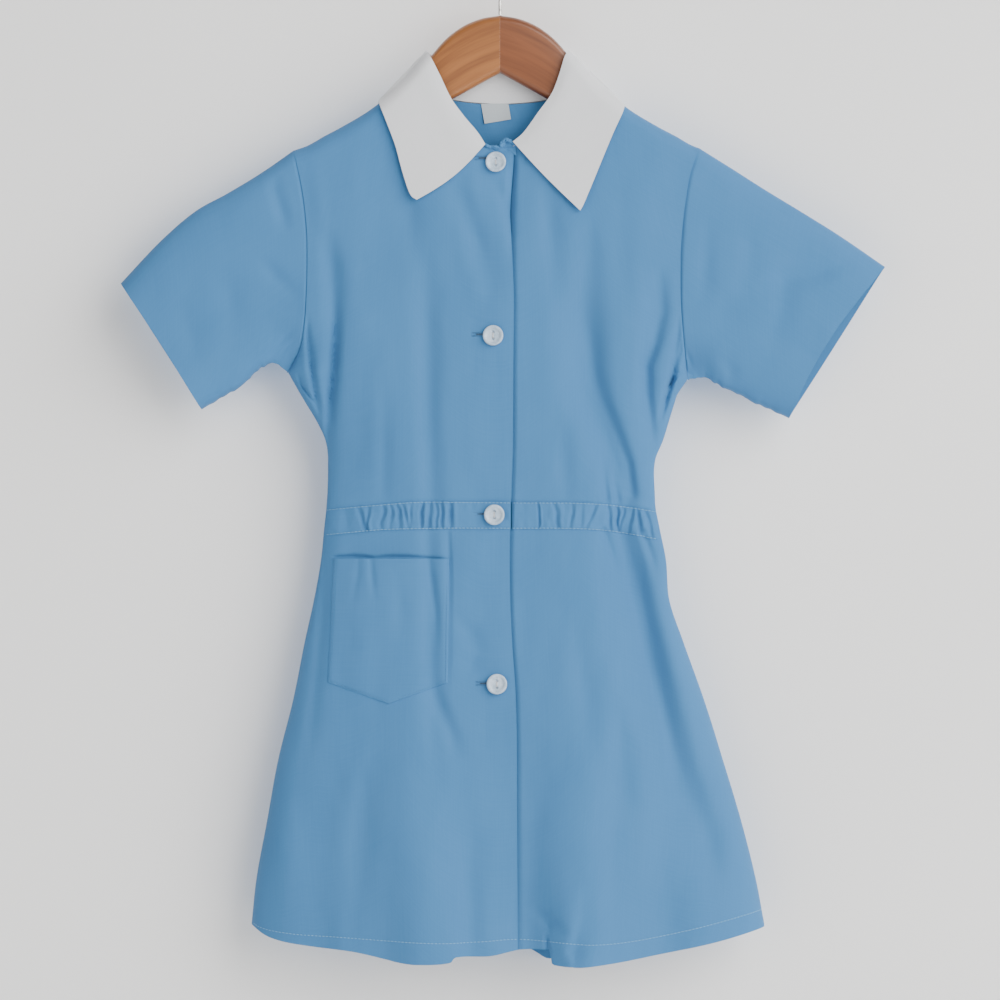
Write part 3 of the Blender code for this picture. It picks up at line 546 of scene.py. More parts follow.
@dataclass(frozen=True)
class Dress:
    """Outer surface of the whole body: form, folds, creases and the lap of the fronts."""

    form: BodyForm = BodyForm()
    lap_width: float = 20.5
    trench: float = 3.2
    trench_ease: float = 7.0
    side_ease: float = 14.0
    ridge_ease: float = 16.0
    hem_groove: tuple[float, float] = (0.25, 0.9)
    band_groove: tuple[float, float] = (0.15, 1.1)
    front_folds: tuple[Fold, ...] = (
        Fold(((225, 56, 10, 0), (262, 60, 12, 5), (300, 62.7, 12.5, 8.4), (330, 65, 12, 8.8),
              (350, 67.8, 11.5, 8.6), (372, 76, 10.5, 8.2), (396, 84.5, 9.5, 7.4),
              (424, 91, 9, 5.5),
              (440, 89, 8, 4.6), (455, 92, 11, 6.8), (474, 96.5, 12.5, 8.6), (493, 101, 13, 9.4),
              (511, 103.8, 13, 9.4), (547, 112, 12.5, 9.2), (581, 120.5, 12, 8.6),
              (609, 127, 12.5, 8), (640, 137, 14, 6.8), (672, 148, 16, 4.4), (720, 160, 16, 0)),
             1.5),
        Fold(((250, 116, 6, 0), (300, 110, 7, 2.8), (340, 107, 6, 2.6), (370, 110, 6, 2),
              (400, 112, 6, 0))),
        Fold(((225, -128, 8, 0), (260, -124, 8, 2.6), (300, -121.5, 6, 3.2), (350, -125, 5, 3.5),
              (405, -127, 6, 0))),
        Fold(((520, -70, 26, 0), (640, -60, 28, -5), (770, -53, 28, -10))),
        Fold(((500, 52, 26, 0), (640, 56, 28, -6), (770, 60, 26, -11))),
        Fold(((560, 14, 16, 0), (680, 16, 18, 3), (770, 20, 18, 6))),
        Fold(((540, -120, 16, 0), (680, -128, 20, 2), (770, -132, 20, 2.5))),
        Fold(((640, 118, 16, 0), (700, 122, 18, 3), (770, 126, 18, 5))),
    )
    back_folds: tuple[Fold, ...] = (
        Fold(((440, -78, 14, 0), (560, -92, 16, 4), (770, -110, 20, 7))),
        Fold(((480, -40, 20, 0), (640, -48, 24, -4), (770, -56, 26, -7))),
        Fold(((450, 4, 14, 0), (600, 2, 18, 4), (770, 0, 22, 7))),
        Fold(((480, 44, 20, 0), (640, 52, 24, -4), (770, 60, 26, -7))),
        Fold(((440, 76, 14, 0), (560, 92, 16, 4), (770, 114, 20, 7))),
        Fold(((190, 30, 12, 0), (250, 24, 14, 2), (330, 12, 14, 2.5), (420, 6, 12, 0))),
    )
    front_creases: tuple[Crease, ...] = (
        # Wearer's right, from the armhole to the pocket
        Crease(((-120.5, 268, 4, 0), (-120.6, 299, 3, 1.8), (-122.6, 336, 2.6, 2.6),
                (-126, 372, 2.6, 1.6), (-126.8, 392, 2.6, 0)), 0.4),
        Crease(((-128, 222, 7, 0), (-122, 252, 7, 1.2), (-119, 280, 6, 0))),
        Crease(((-142, 286, 2, 0), (-141, 300, 2, 1.2), (-138.2, 326, 2.2, 2.4),
                (-134.2, 350, 2.2, 2.3), (-131, 366, 2, 0)), 0.3),
        Crease(((-147.5, 330.6, 0.9, 0.2), (-144.6, 340.5, 0.9, 1.4), (-137.5, 349.5, 0.9, 1.4),
                (-134.6, 355, 0.8, 0))),
        Crease(((-55, 222, 8, 0), (-53, 299, 8.5, 2.0), (-52, 365, 8.5, 2.4), (-50, 421, 8, 1.9))),
        Crease(((-52, 446, 6, 1.2), (-51.5, 480, 7, 1.9), (-50, 540, 7, 1.7), (-48, 590, 6.5, 1.0),
                (-44, 640, 6, 0))),
        Crease(((-84.5, 320, 6, 0), (-84.2, 385, 6, 1.1), (-85, 418, 5, 0.5))),
        Crease(((134, 300, 1.5, 0), (131, 316, 1.6, 1.2), (127, 330, 1.6, 1.6),
                (123.5, 345, 1.5, 0.8))),
        Crease(((-34, 186, 7, 0), (-27, 206, 8, 1.5), (-15, 240, 9, 2.0), (-6, 268, 8, 0.6),
                (-3, 285, 6, 0))),
        Crease(((-37.4, 446, 2.2, 0.5), (-36.4, 466, 2.2, 1.0), (-36.2, 482, 2.2, 0.8),
                (-36.9, 540, 2.4, 0.45), (-38.4, 564, 3, 0)), -0.4),
        Crease(((-38, 500, 5, 0), (-22, 520, 7, 1.2), (-10, 545, 7, 0))),
        Crease(((-34, 540, 6, 0), (-20, 543, 6, 1.2), (-10, 547, 5, 0))),
        Crease(((-51, 548, 6, 0), (-43, 574, 5.5, 1.7), (-35, 594, 5.5, 1.5), (-29, 612, 6, 0))),
        Crease(((-96, 600, 9, 0), (-99, 650, 10, 1.6), (-104, 720, 11, 1.0), (-106, 752, 11, 0))),
        Crease(((-20, 640, 8, 0), (-22, 700, 9, 1.4), (-21, 752, 9, 1.8))),
        Crease(((-126, 455, 4, 0), (-129, 500, 4, 1.2), (-134, 560, 5, 1.2), (-142, 620, 6, 0))),
        Crease(((-68, 180, 8, 0), (-66, 215, 9, 1.0), (-62, 260, 8, 0))),
        # Wearer's left, from the chest to the hem
        Crease(((60, 280, 6, 0), (67, 310, 6, 1.0), (70, 335, 5, 1.2), (76, 352, 4.4, 1.5),
                (85, 373, 3.8, 1.7), (94, 397, 3.4, 2.0), (97, 418, 3, 1.5))),
        Crease(((117.4, 250, 5, 0), (118.4, 286, 4.5, 1.6), (113.6, 309, 4, 2.0),
                (107, 325, 3.4, 2.4),
                (108, 346, 3.2, 2.0), (111, 372, 3.2, 1.0), (112, 390, 3, 0))),
        Crease(((132, 288, 2, 0), (128.4, 312, 2, 1.6), (125.2, 336, 2.1, 2.4),
                (120.4, 354, 2.1, 2.3), (116.6, 368, 2, 0)), -0.2),
        Crease(((134, 330, 1.2, 0), (128.5, 331, 1.3, 1.6), (123.5, 339.5, 1.3, 1.8),
                (121.6, 343, 1, 0))),
        Crease(((126, 349, 1.1, 0.6), (121.5, 349.6, 1.2, 2.0), (120.4, 352, 1.2, 0))),
        Crease(((89, 450, 4, 0.9), (94, 474, 6.5, 1.5), (101, 505, 7.5, 2.1), (111, 547, 6.5, 2.0),
                (120, 581, 5.5, 1.6), (130, 634, 6.5, 0.8), (146, 661, 7, 0)), 0.2),
        Crease(((55, 500, 8, 0), (62, 555, 9, 1.3), (68, 620, 9, 0))),
        Crease(((84, 562, 7, 0), (88, 600, 8, 1.6), (91, 650, 8, 0))),
        Crease(((33, 185, 7, 0), (36, 215, 8, 1.5), (41, 260, 8, 0.8), (46, 330, 7, 0))),
        Crease(((64, 215, 7, 0), (68, 245, 8, 1.3), (72, 282, 7, 0))),
        Crease(((44, 340, 8, 0), (47, 385, 8, 1.0), (49, 420, 7, 0.6))),
        Crease(((76, 446, 3, 1.6), (81, 462, 3.5, 1.2), (88, 482, 4, 0))),
        Crease(((104, 446, 2.5, 1.8), (110, 462, 3, 1.4), (116, 484, 3.5, 0))),
        Crease(((78, 423, 2.4, 1.8), (76, 408, 2.8, 1.3), (74, 385, 3, 0))),
        Crease(((86, 424, 2.2, 1.6), (84, 412, 2.4, 0.8), (83, 400, 2.6, 0))),
        Crease(((62, 695, 8, 0), (60, 728, 8, 1.4), (54, 750, 7, 2.2)), 0.3),
        Crease(((22, 718, 4, 0), (36, 730, 4.5, 1.8), (51, 738, 4, 0))),
        # Neck edge below the roll, and the step of the hem's fold
        Crease(((3.5, 167.8, 1.1, 0.3), (6, 168.1, 1.2, 1.2), (10.5, 168.6, 1.2, 1.2),
                (13, 168.8, 1.2, 0))),
        Crease(((34, 736, 1.4, 0), (34.6, 742, 1.6, 1.6), (34.6, 764, 1.8, 2.0)), -0.3),
        # Under the top button, where the edge pulls
        Crease(((10.6, 170, 2.2, 0.8), (9.2, 186, 2.6, 1.8), (7.6, 214, 3, 1.9), (9, 255, 3, 0))),
        Crease(((-6, 186, 4, 0), (4, 206, 5, 1.2), (6, 232, 5, 0))),
    )
    back_creases: tuple[Crease, ...] = (
        Crease(((118, 250, 6, 0), (116, 300, 6, 1.2), (112, 350, 5, 1.5), (108, 400, 5, 0))),
        Crease(((-120, 240, 6, 0), (-118, 300, 6, 1.4), (-114, 350, 5, 1.4), (-110, 405, 5, 0))),
        Crease(((-60, 300, 8, 0), (-66, 360, 8, 1.0), (-70, 420, 6, 0.8))),
        Crease(((66, 280, 8, 0), (62, 350, 8, 1.1), (68, 420, 6, 0.7))),
        Crease(((-20, 452, 6, 0.6), (-24, 520, 8, 1.2), (-30, 600, 8, 0))),
        Crease(((30, 452, 6, 0.6), (26, 520, 8, 1.3), (34, 610, 8, 0))),
        Crease(((-100, 450, 4, 0.8), (-112, 510, 5, 1.4), (-126, 590, 6, 0))),
        Crease(((100, 450, 4, 0.8), (114, 510, 5, 1.4), (128, 600, 6, 0))),
        Crease(((132, 300, 2, 0), (127, 335, 1.8, 1.6), (119, 364, 1.6, 0))),
        Crease(((-141, 300, 2, 0), (-137, 335, 1.8, 1.6), (-130, 364, 1.6, 0))),
        Crease(((-60, 190, 8, 0), (-48, 230, 9, 0.9), (-30, 280, 9, 0))),
        Crease(((72, 185, 8, 0), (58, 232, 9, 0.9), (46, 280, 9, 0))),
    )
    front_noise: tuple[SoftNoise, ...] = (
        SoftNoise((27, 95), 1.1, 3), SoftNoise((17, 42), 0.55, 13), SoftNoise((9, 21), 0.2, 8))
    back_noise: tuple[SoftNoise, ...] = (
        SoftNoise((30, 95), 1.1, 5), SoftNoise((17, 42), 0.55, 15), SoftNoise((9, 21), 0.2, 9))
    pocket_gap: Crease = Crease((
        (-124, 464.4, 1.3, 0), (-119, 464.9, 1.5, 1.8), (-106, 464.6, 1.7, 2.4),
        (-97, 465.2, 1.5, 2.2), (-91, 465.6, 1.3, 1.0), (-82, 464.9, 1.6, 2.0),
        (-68, 464.8, 1.6, 2.2), (-57, 465.4, 1.4, 1.3), (-44, 466.2, 1.3, 1.1),
        (-38, 466.5, 1.2, 0)))

    def surface(self, x: Number, drop: Number, face: Face, under_lap: bool = False,
                trench: bool = False) -> Array:
        """Points of the outside of the body at places across and down.

        Args:
            x: places across.
            drop: places down.
            face: front or back.
            under_lap: true for the front that lies under at the button edge.
            trench: true for a panel, which sinks under the casing between its stitches and
                behind the pocket's mouth.

        Returns:
            The points, in millimetres.
        """
        x, drop = np.broadcast_arrays(np.asarray(x, float), np.asarray(drop, float))
        front = face is Face.FRONT
        folds = self.front_folds if front else self.back_folds
        folds = folds + (self.front_creases if front else self.back_creases)
        out = self.form.depth(x, drop, face, folds) + self.form.seam_lap
        inward = self.form.inward(x, drop)
        below = drop - self.form.ridge.at(np.abs(x))
        inside = smooth(inward / self.side_ease) * smooth(below / self.ridge_ease)
        for noise in self.front_noise if front else self.back_noise:
            out = out + noise.at(x, drop) * inside
        top = drop - self.form.band_top.at(x)
        foot = drop - self.form.band_foot.at(x)
        hem = drop - self.form.hem_seam(x, face)
        grooves = ((hem, self.hem_groove), (top, self.band_groove), (foot, self.band_groove))
        for away, (depth, width) in grooves:
            out = out - depth * np.exp(-(away / width) ** 2)
        if trench:
            sunk = smooth(top) * smooth(-foot)
            out = out - self.trench * sunk * smooth((inward - 1) / self.trench_ease)
            if front:
                out = out - self.pocket_gap.depth(x, drop)
        if under_lap:
            rise = (x - self.form.lap_edge.at(drop) - self.form.lap_clear) / self.form.lap_rise
            out = out - self.form.lap_step * (1 - smooth(rise))
        return np.stack([x, face.value * out, -drop], axis=-1)

    def normals(self, x: Number, drop: Number, face: Face, under_lap: bool = False) -> Array:
        """Unit normals of the surface, from its points half a millimetre away."""
        reach = 0.5
        left, right = (self.surface(x + step, drop, face, under_lap) for step in (-reach, reach))
        upper, lower = (self.surface(x, drop + step, face, under_lap) for step in (-reach, reach))
        normal = unit(np.cross(lower - upper, right - left))
        return normal * np.sign(normal[..., 1:2] * face.value)


class Signal:
    """Shader socket that takes part in Python expressions."""

    def __init__(self, paint: "Paint", socket: bpy.types.NodeSocket) -> None:
        """Keep the socket and the tree that it is in."""
        self.paint = paint
        self.socket = socket

    def __add__(self, other: Union["Signal", float]) -> "Signal":
        """Sum."""
        return self.paint.math("ADD", self, other)

    def __radd__(self, other: float) -> "Signal":
        """Sum, with the number first."""
        return self.paint.math("ADD", other, self)

    def __mul__(self, other: Union["Signal", float]) -> "Signal":
        """Product."""
        return self.paint.math("MULTIPLY", self, other)


class Paint:
    """Node tree of one finish, with its Principled shader."""

    def __init__(self, name: str) -> None:
        """Make an empty material with a shader and an output."""
        self.material = bpy.data.materials.new(name)
        self.material.use_nodes = True
        self.tree = self.material.node_tree
        self.tree.nodes.clear()
        self.shader = self.node("ShaderNodeBsdfPrincipled", {}, {})
        self.output = self.node("ShaderNodeOutputMaterial", {}, {})
        self.tree.links.new(self.shader.outputs["BSDF"], self.output.inputs["Surface"])

    def node(self, kind: str, settings: dict[str, Any], sockets: dict[Any, Any]) -> bpy.types.Node:
        """Any node: its type, its settings first, then the values or links of its sockets.

        Args:
            kind: type of the node.
            settings: properties of the node; "stops" are the stops of a ramp.
            sockets: values or signals, by the name or number of the input.

        Returns:
            The node.
        """
        made = self.tree.nodes.new(kind)
        for name, value in settings.items():
            if name == "stops":
                ramp = made.color_ramp
                for place, color in value:
                    ramp.elements.new(place).color = color
                ramp.elements.remove(ramp.elements[0])
                ramp.elements.remove(ramp.elements[-1])
            else:
                setattr(made, name, value)
        self.fill(made, sockets)
        return made

    def fill(self, node: bpy.types.Node, sockets: dict[Any, Any]) -> None:
        """Give inputs of a node their values or links."""
        for name, value in sockets.items():
            if isinstance(value, Signal):
                self.tree.links.new(value.socket, node.inputs[name])
            else:
                node.inputs[name].default_value = value

    def signal(self, kind: str, settings: dict[str, Any], sockets: dict[Any, Any],
               output: Union[str, int] = 0) -> Signal:
        """One output of a new node."""
        return Signal(self, self.node(kind, settings, sockets).outputs[output])

    def math(self, operation: str, first: Union[Signal, float],
             second: Union[Signal, float]) -> Signal:
        """Math node on two values."""
        return self.signal("ShaderNodeMath", {"operation": operation}, {0: first, 1: second})

    def attribute(self, name: str) -> Signal:
        """Vector that the mesh keeps for each vertex."""
        return self.signal("ShaderNodeAttribute", {"attribute_name": name}, {}, "Vector")

    def place(self) -> Signal:
        """Place in the object's own frame, in metres."""
        return self.signal("ShaderNodeTexCoord", {}, {}, "Object")

    def stretch(self, vector: Signal, scale: tuple[float, float, float]) -> Signal:
        """Vector times a scale for each axis."""
        return self.signal("ShaderNodeVectorMath", {"operation": "MULTIPLY"}, {0: vector, 1: scale})

    def noise(self, vector: Signal, scale: tuple[float, float, float], detail: float = 2.0,
              roughness: float = 0.5) -> Signal:
        """Noise from 0 to 1, with its own fineness along each axis."""
        return self.signal("ShaderNodeTexNoise", {}, {
            "Vector": self.stretch(vector, scale), "Scale": 1.0, "Detail": detail,
            "Roughness": roughness})

    def ease(self, value: Signal, low: float, high: float) -> Signal:
        """Value eased from 0 at low to 1 at high."""
        return self.signal("ShaderNodeMapRange", {"interpolation_type": "SMOOTHSTEP"},
                           {0: value, 1: low, 2: high})

    def mix(self, factor: Union[Signal, float], first: Any, second: Any) -> Signal:
        """Colour between two others."""
        return self.signal("ShaderNodeMix", {"data_type": "RGBA"},
                           {0: factor, 6: first, 7: second}, 2)

    def ramp(self, factor: Signal, stops: Sequence[tuple[float, tuple[float, ...]]]) -> Signal:
        """Colour ramp through stops."""
        return self.signal("ShaderNodeValToRGB", {"stops": stops}, {0: factor})

    def finish(self, color: Signal, roughness: Union[Signal, float], height: Signal,
               distance: float, strength: float = 1.0, **constants: float) -> bpy.types.Material:
        """Join colour, roughness and relief to the shader, and set its constant values.

        Args:
            color: base colour.
            roughness: roughness, one number or a signal.
            height: relief from 0 to 1.
            distance: depth of the relief, in metres.
            strength: share of the relief that counts.
            constants: other sockets by name, with underscores for spaces.

        Returns:
            The material.
        """
        bump = self.signal("ShaderNodeBump", {}, {"Strength": strength, "Distance": distance,
                                                  "Height": height})
        self.fill(self.shader, {"Base Color": color, "Roughness": roughness, "Normal": bump})
        self.fill(self.shader, {name.replace("_", " "): value for name, value in constants.items()})
        return self.material


Color = tuple[float, float, float, float]


@dataclass(frozen=True)
class Finish:
    """Finish between a light and a dark tone."""

    name: str
    light: Color
    dark: Color


@dataclass(frozen=True)
class CottonFinish(Finish):
    """Plain-weave cotton: crossing threads with slubs, a slow change of tone and soft fuzz."""

    pale: Color
    thread: float = 0.0007
    slub: float = 0.0016
    tone: float = 0.5
    relief: float = 0.00012

    def make(self) -> bpy.types.Material:
        """Threads are noise drawn out along the warp and along the weft.

        Returns:
            The material, which reads the attribute "weave".
        """
        paint = Paint(self.name)
        cloth = paint.attribute("weave")
        fine = 1 / self.thread
        slub = 1 / self.slub
        warp = paint.noise(cloth, (fine, 60, 1), 1.0)
        weft = paint.noise(cloth, (60, fine, 1), 1.0)
        warp_slub = paint.noise(cloth, (slub, 22, 1), 2.0)
        weft_slub = paint.noise(cloth, (22, slub, 1), 2.0)
        slow = paint.noise(cloth, (14, 9, 1), 3.0)
        threads = warp * 0.5 + weft * 0.5
        slubs = paint.ease(warp_slub * 0.5 + weft_slub * 0.5, 0.36, 0.66)
        base = paint.mix(paint.ease(slow, 0.3, 0.7) * self.tone, self.light, self.dark)
        lit = paint.mix(slubs * 0.2, base, self.pale)
        color = paint.mix(paint.ease(threads, 0.3, 0.7) * 0.14, lit, self.dark)
        height = threads + slubs * 0.5
        return paint.finish(color, 0.82 + slubs * 0.08, height, self.relief, 0.4,
                            Sheen_Weight=0.06, Sheen_Roughness=0.5, Specular_IOR_Level=0.2)


@dataclass(frozen=True)
class ThreadFinish(Finish):
    """Twisted sewing thread."""

    def make(self) -> bpy.types.Material:
        """Twist is noise drawn out across the thread."""
        paint = Paint(self.name)
        twist = paint.noise(paint.place(), (2600, 2600, 2600), 1.0)
        color = paint.mix(paint.ease(twist, 0.35, 0.7), self.dark, self.light)
        return paint.finish(color, 0.6, twist, 0.00008, 0.5, Specular_IOR_Level=0.35)


@dataclass(frozen=True)
class ButtonFinish(Finish):
    """Cast button with a slow pearly cloud and fine scratches from the wash."""

    def make(self) -> bpy.types.Material:
        """Cloud and scratches are noise at two sizes."""
        paint = Paint(self.name)
        place = paint.place()
        cloud = paint.noise(place, (260, 180, 260), 3.0)
        scratch = paint.noise(place, (2400, 400, 700), 2.0)
        color = paint.mix(paint.ease(cloud, 0.35, 0.7), self.dark, self.light)
        return paint.finish(color, 0.26 + paint.ease(scratch, 0.45, 0.8) * 0.22, scratch, 0.00003,
                            0.4, Coat_Weight=0.3, Coat_Roughness=0.15)


@dataclass(frozen=True)
class WoodFinish(Finish):
    """Varnished wood: long grain, pores and a slow change of colour along the arm."""

    middle: Color

    def make(self) -> bpy.types.Material:
        """Grain follows the attribute "grain": along the arm, across it and through it."""
        paint = Paint(self.name)
        grain = paint.attribute("grain")
        year = paint.noise(grain, (9, 150, 90), 3.0, 0.6)
        pore = paint.noise(grain, (60, 1400, 900), 2.0)
        slow = paint.noise(grain, (16, 30, 30), 2.0)
        wood = paint.ramp(year, ((0.3, self.dark), (0.47, self.middle), (0.62, self.light),
                                 (0.72, self.middle)))
        shade = paint.mix(paint.ease(slow, 0.35, 0.75) * 0.3, wood, self.dark)
        color = paint.mix(paint.ease(pore, 0.56, 0.72) * 0.22, shade, self.dark)
        return paint.finish(color, 0.34 + pore * 0.16, year * 0.4 + pore * 0.3, 0.00006, 0.5,
                            Coat_Weight=0.35, Coat_Roughness=0.25)


@dataclass(frozen=True)
class WireFinish(Finish):
    """Bright drawn wire with fine marks along it."""

    def make(self) -> bpy.types.Material:
        """Marks are fine noise; dull spots raise the roughness."""
        paint = Paint(self.name)
        place = paint.place()
        marks = paint.noise(place, (1800, 1800, 300), 2.0)
        spots = paint.noise(place, (220, 220, 220), 3.0)
        color = paint.mix(paint.ease(spots, 0.4, 0.75), self.light, self.dark)
        return paint.finish(color, 0.2 + paint.ease(spots, 0.4, 0.8) * 0.25, marks, 0.00003, 0.4,
                            Metallic=1.0)


@dataclass(frozen=True)
class WallFinish(Finish):
    """Painted wall or floor of the studio; the wall is clear from behind and lets light through."""

    one_sided: bool = False

    def make(self) -> bpy.types.Material:
        """Tone changes slowly, with a very fine roller texture."""
        paint = Paint(self.name)
        place = paint.place()
        slow = paint.noise(place, (1.3, 1.3, 1.3), 2.0)
        fine = paint.noise(place, (500, 500, 500), 2.0)
        color = paint.mix(paint.ease(slow, 0.35, 0.65), self.dark, self.light)
        material = paint.finish(color, 0.9, fine, 0.0001, 0.2, Specular_IOR_Level=0.2)
        if self.one_sided:
            behind = paint.signal("ShaderNodeNewGeometry", {}, {}, "Backfacing")
            shadow = paint.signal("ShaderNodeLightPath", {}, {}, "Is Shadow Ray")
            clear = paint.node("ShaderNodeBsdfTransparent", {}, {})
            both = paint.node("ShaderNodeMixShader", {}, {0: paint.math("MAXIMUM", behind, shadow)})
            paint.tree.links.new(paint.shader.outputs["BSDF"], both.inputs[1])
            paint.tree.links.new(clear.outputs[0], both.inputs[2])
            paint.tree.links.new(both.outputs[0], paint.output.inputs["Surface"])
        return material


class Finishes:
    """All the finishes of the dress and its hanger."""

    def __init__(self) -> None:
        """Make each material once."""
        self.blue = CottonFinish("blue_cotton", (0.051, 0.184, 0.396, 1), (0.040, 0.159, 0.353, 1),
                                 (0.074, 0.219, 0.438, 1)).make()
        self.white = CottonFinish("white_cotton", (0.665, 0.68, 0.71, 1), (0.60, 0.615, 0.65, 1),
                                  (0.72, 0.73, 0.75, 1), tone=0.4).make()
        self.tape = CottonFinish("woven_label", (0.44, 0.49, 0.53, 1), (0.38, 0.43, 0.47, 1),
                                 (0.50, 0.55, 0.58, 1), thread=0.0005).make()
        self.thread = ThreadFinish("pale_blue_thread", (0.20, 0.42, 0.63, 1),
                                   (0.13, 0.32, 0.53, 1)).make()
        # thread darker than the cloth: partly its own colour, partly painted shade along the
        # pocket's edges
        self.thread_and_edge_shade = ThreadFinish("blue_thread_and_edge_shade", (0.050, 0.17, 0.35, 1),
                                         (0.030, 0.12, 0.27, 1)).make()
        self.button_thread = ThreadFinish("white_thread", (0.70, 0.70, 0.70, 1),
                                          (0.52, 0.52, 0.54, 1)).make()
        # dark sheet for the buttonholes: painted shade of their inside, made with the thread's
        # twist
        self.slit_shade = ThreadFinish("buttonhole_shade", (0.035, 0.085, 0.15, 1),
                                 (0.02, 0.05, 0.10, 1)).make()
        self.button = ButtonFinish("white_button", (0.49, 0.60, 0.73, 1),
                                   (0.35, 0.46, 0.58, 1)).make()
        self.wood_right = WoodFinish("varnished_wood_right", (0.325, 0.118, 0.027, 1),
                                     (0.19, 0.060, 0.012, 1), (0.28, 0.098, 0.021, 1)).make()
        self.wood_left = WoodFinish("varnished_wood_left", (0.205, 0.062, 0.017, 1),
                                    (0.11, 0.029, 0.007, 1), (0.17, 0.050, 0.013, 1)).make()
        self.wire = WireFinish("bright_wire", (0.72, 0.71, 0.69, 1), (0.42, 0.40, 0.38, 1)).make()


@dataclass
class ThreadRun:
    """Row of stitches along a line on the cloth."""

    points: Array
    normals: Array
    pitch: float = 2.7
    gap: float = 0.7
    thick: float = 0.42
    width: float = 0.5

    def grid(self) -> tuple[Array, Array]:
        """Points and quads of all the stitches.

        Each stitch is a flattened tube that rises from the cloth and dips at both ends:
        the height of its middle line is a half sine along it.

        Returns:
            The points and the quads.
        """
        walked = lengths(self.points[None], 1)[0]
        count = max(int(walked[-1] / self.pitch), 1)
        start = (np.arange(count) + 0.5) * walked[-1] / count - (self.pitch - self.gap) / 2
        share = np.array([0.0, 0.14, 0.5, 0.86, 1.0])
        size = np.array([0.35, 0.9, 1.0, 0.9, 0.35])
        at = start[:, None] + share * (self.pitch - self.gap)
        centre = np.stack([np.interp(at, walked, self.points[:, i]) for i in range(3)], axis=-1)
        normal = np.stack([np.interp(at, walked, self.normals[:, i]) for i in range(3)], axis=-1)
        normal = unit(normal)
        forward = unit(centre[:, -1:] - centre[:, :1])
        side = unit(np.cross(forward, normal))
        lift = (np.sin(math.pi * share) * 0.16 + 0.04)[None, :, None]
        turn = np.linspace(0, 2 * math.pi, 6, endpoint=False)
        ring = (centre + normal * lift)[:, :, None] + size[None, :, None, None] * (
            side[:, :, None] * np.cos(turn)[:, None] * self.width / 2
            + normal[:, :, None] * np.sin(turn)[:, None] * self.thick / 2)
        rows, columns = ring.shape[1:3]
        offset = np.arange(count)[:, None, None] * rows * columns
        return ring.reshape(-1, 3), (tube_quads(rows, columns)[None] + offset).reshape(-1, 4)


def sew(name: str, runs: Sequence[ThreadRun], material: bpy.types.Material, slot: str) -> None:
    """Join runs of stitches into one piece.

    Args:
        name: name of the piece.
        runs: the runs.
        material: finish of the thread.
        slot: material slot of the record.
    """
    points = []
    quads = []
    start = 0
    for run in runs:
        made, faces = run.grid()
        points.append(made)
        quads.append(faces + start)
        start += len(made)
    Mesh(name, np.concatenate(points), np.concatenate(quads)).dress(material, slot)


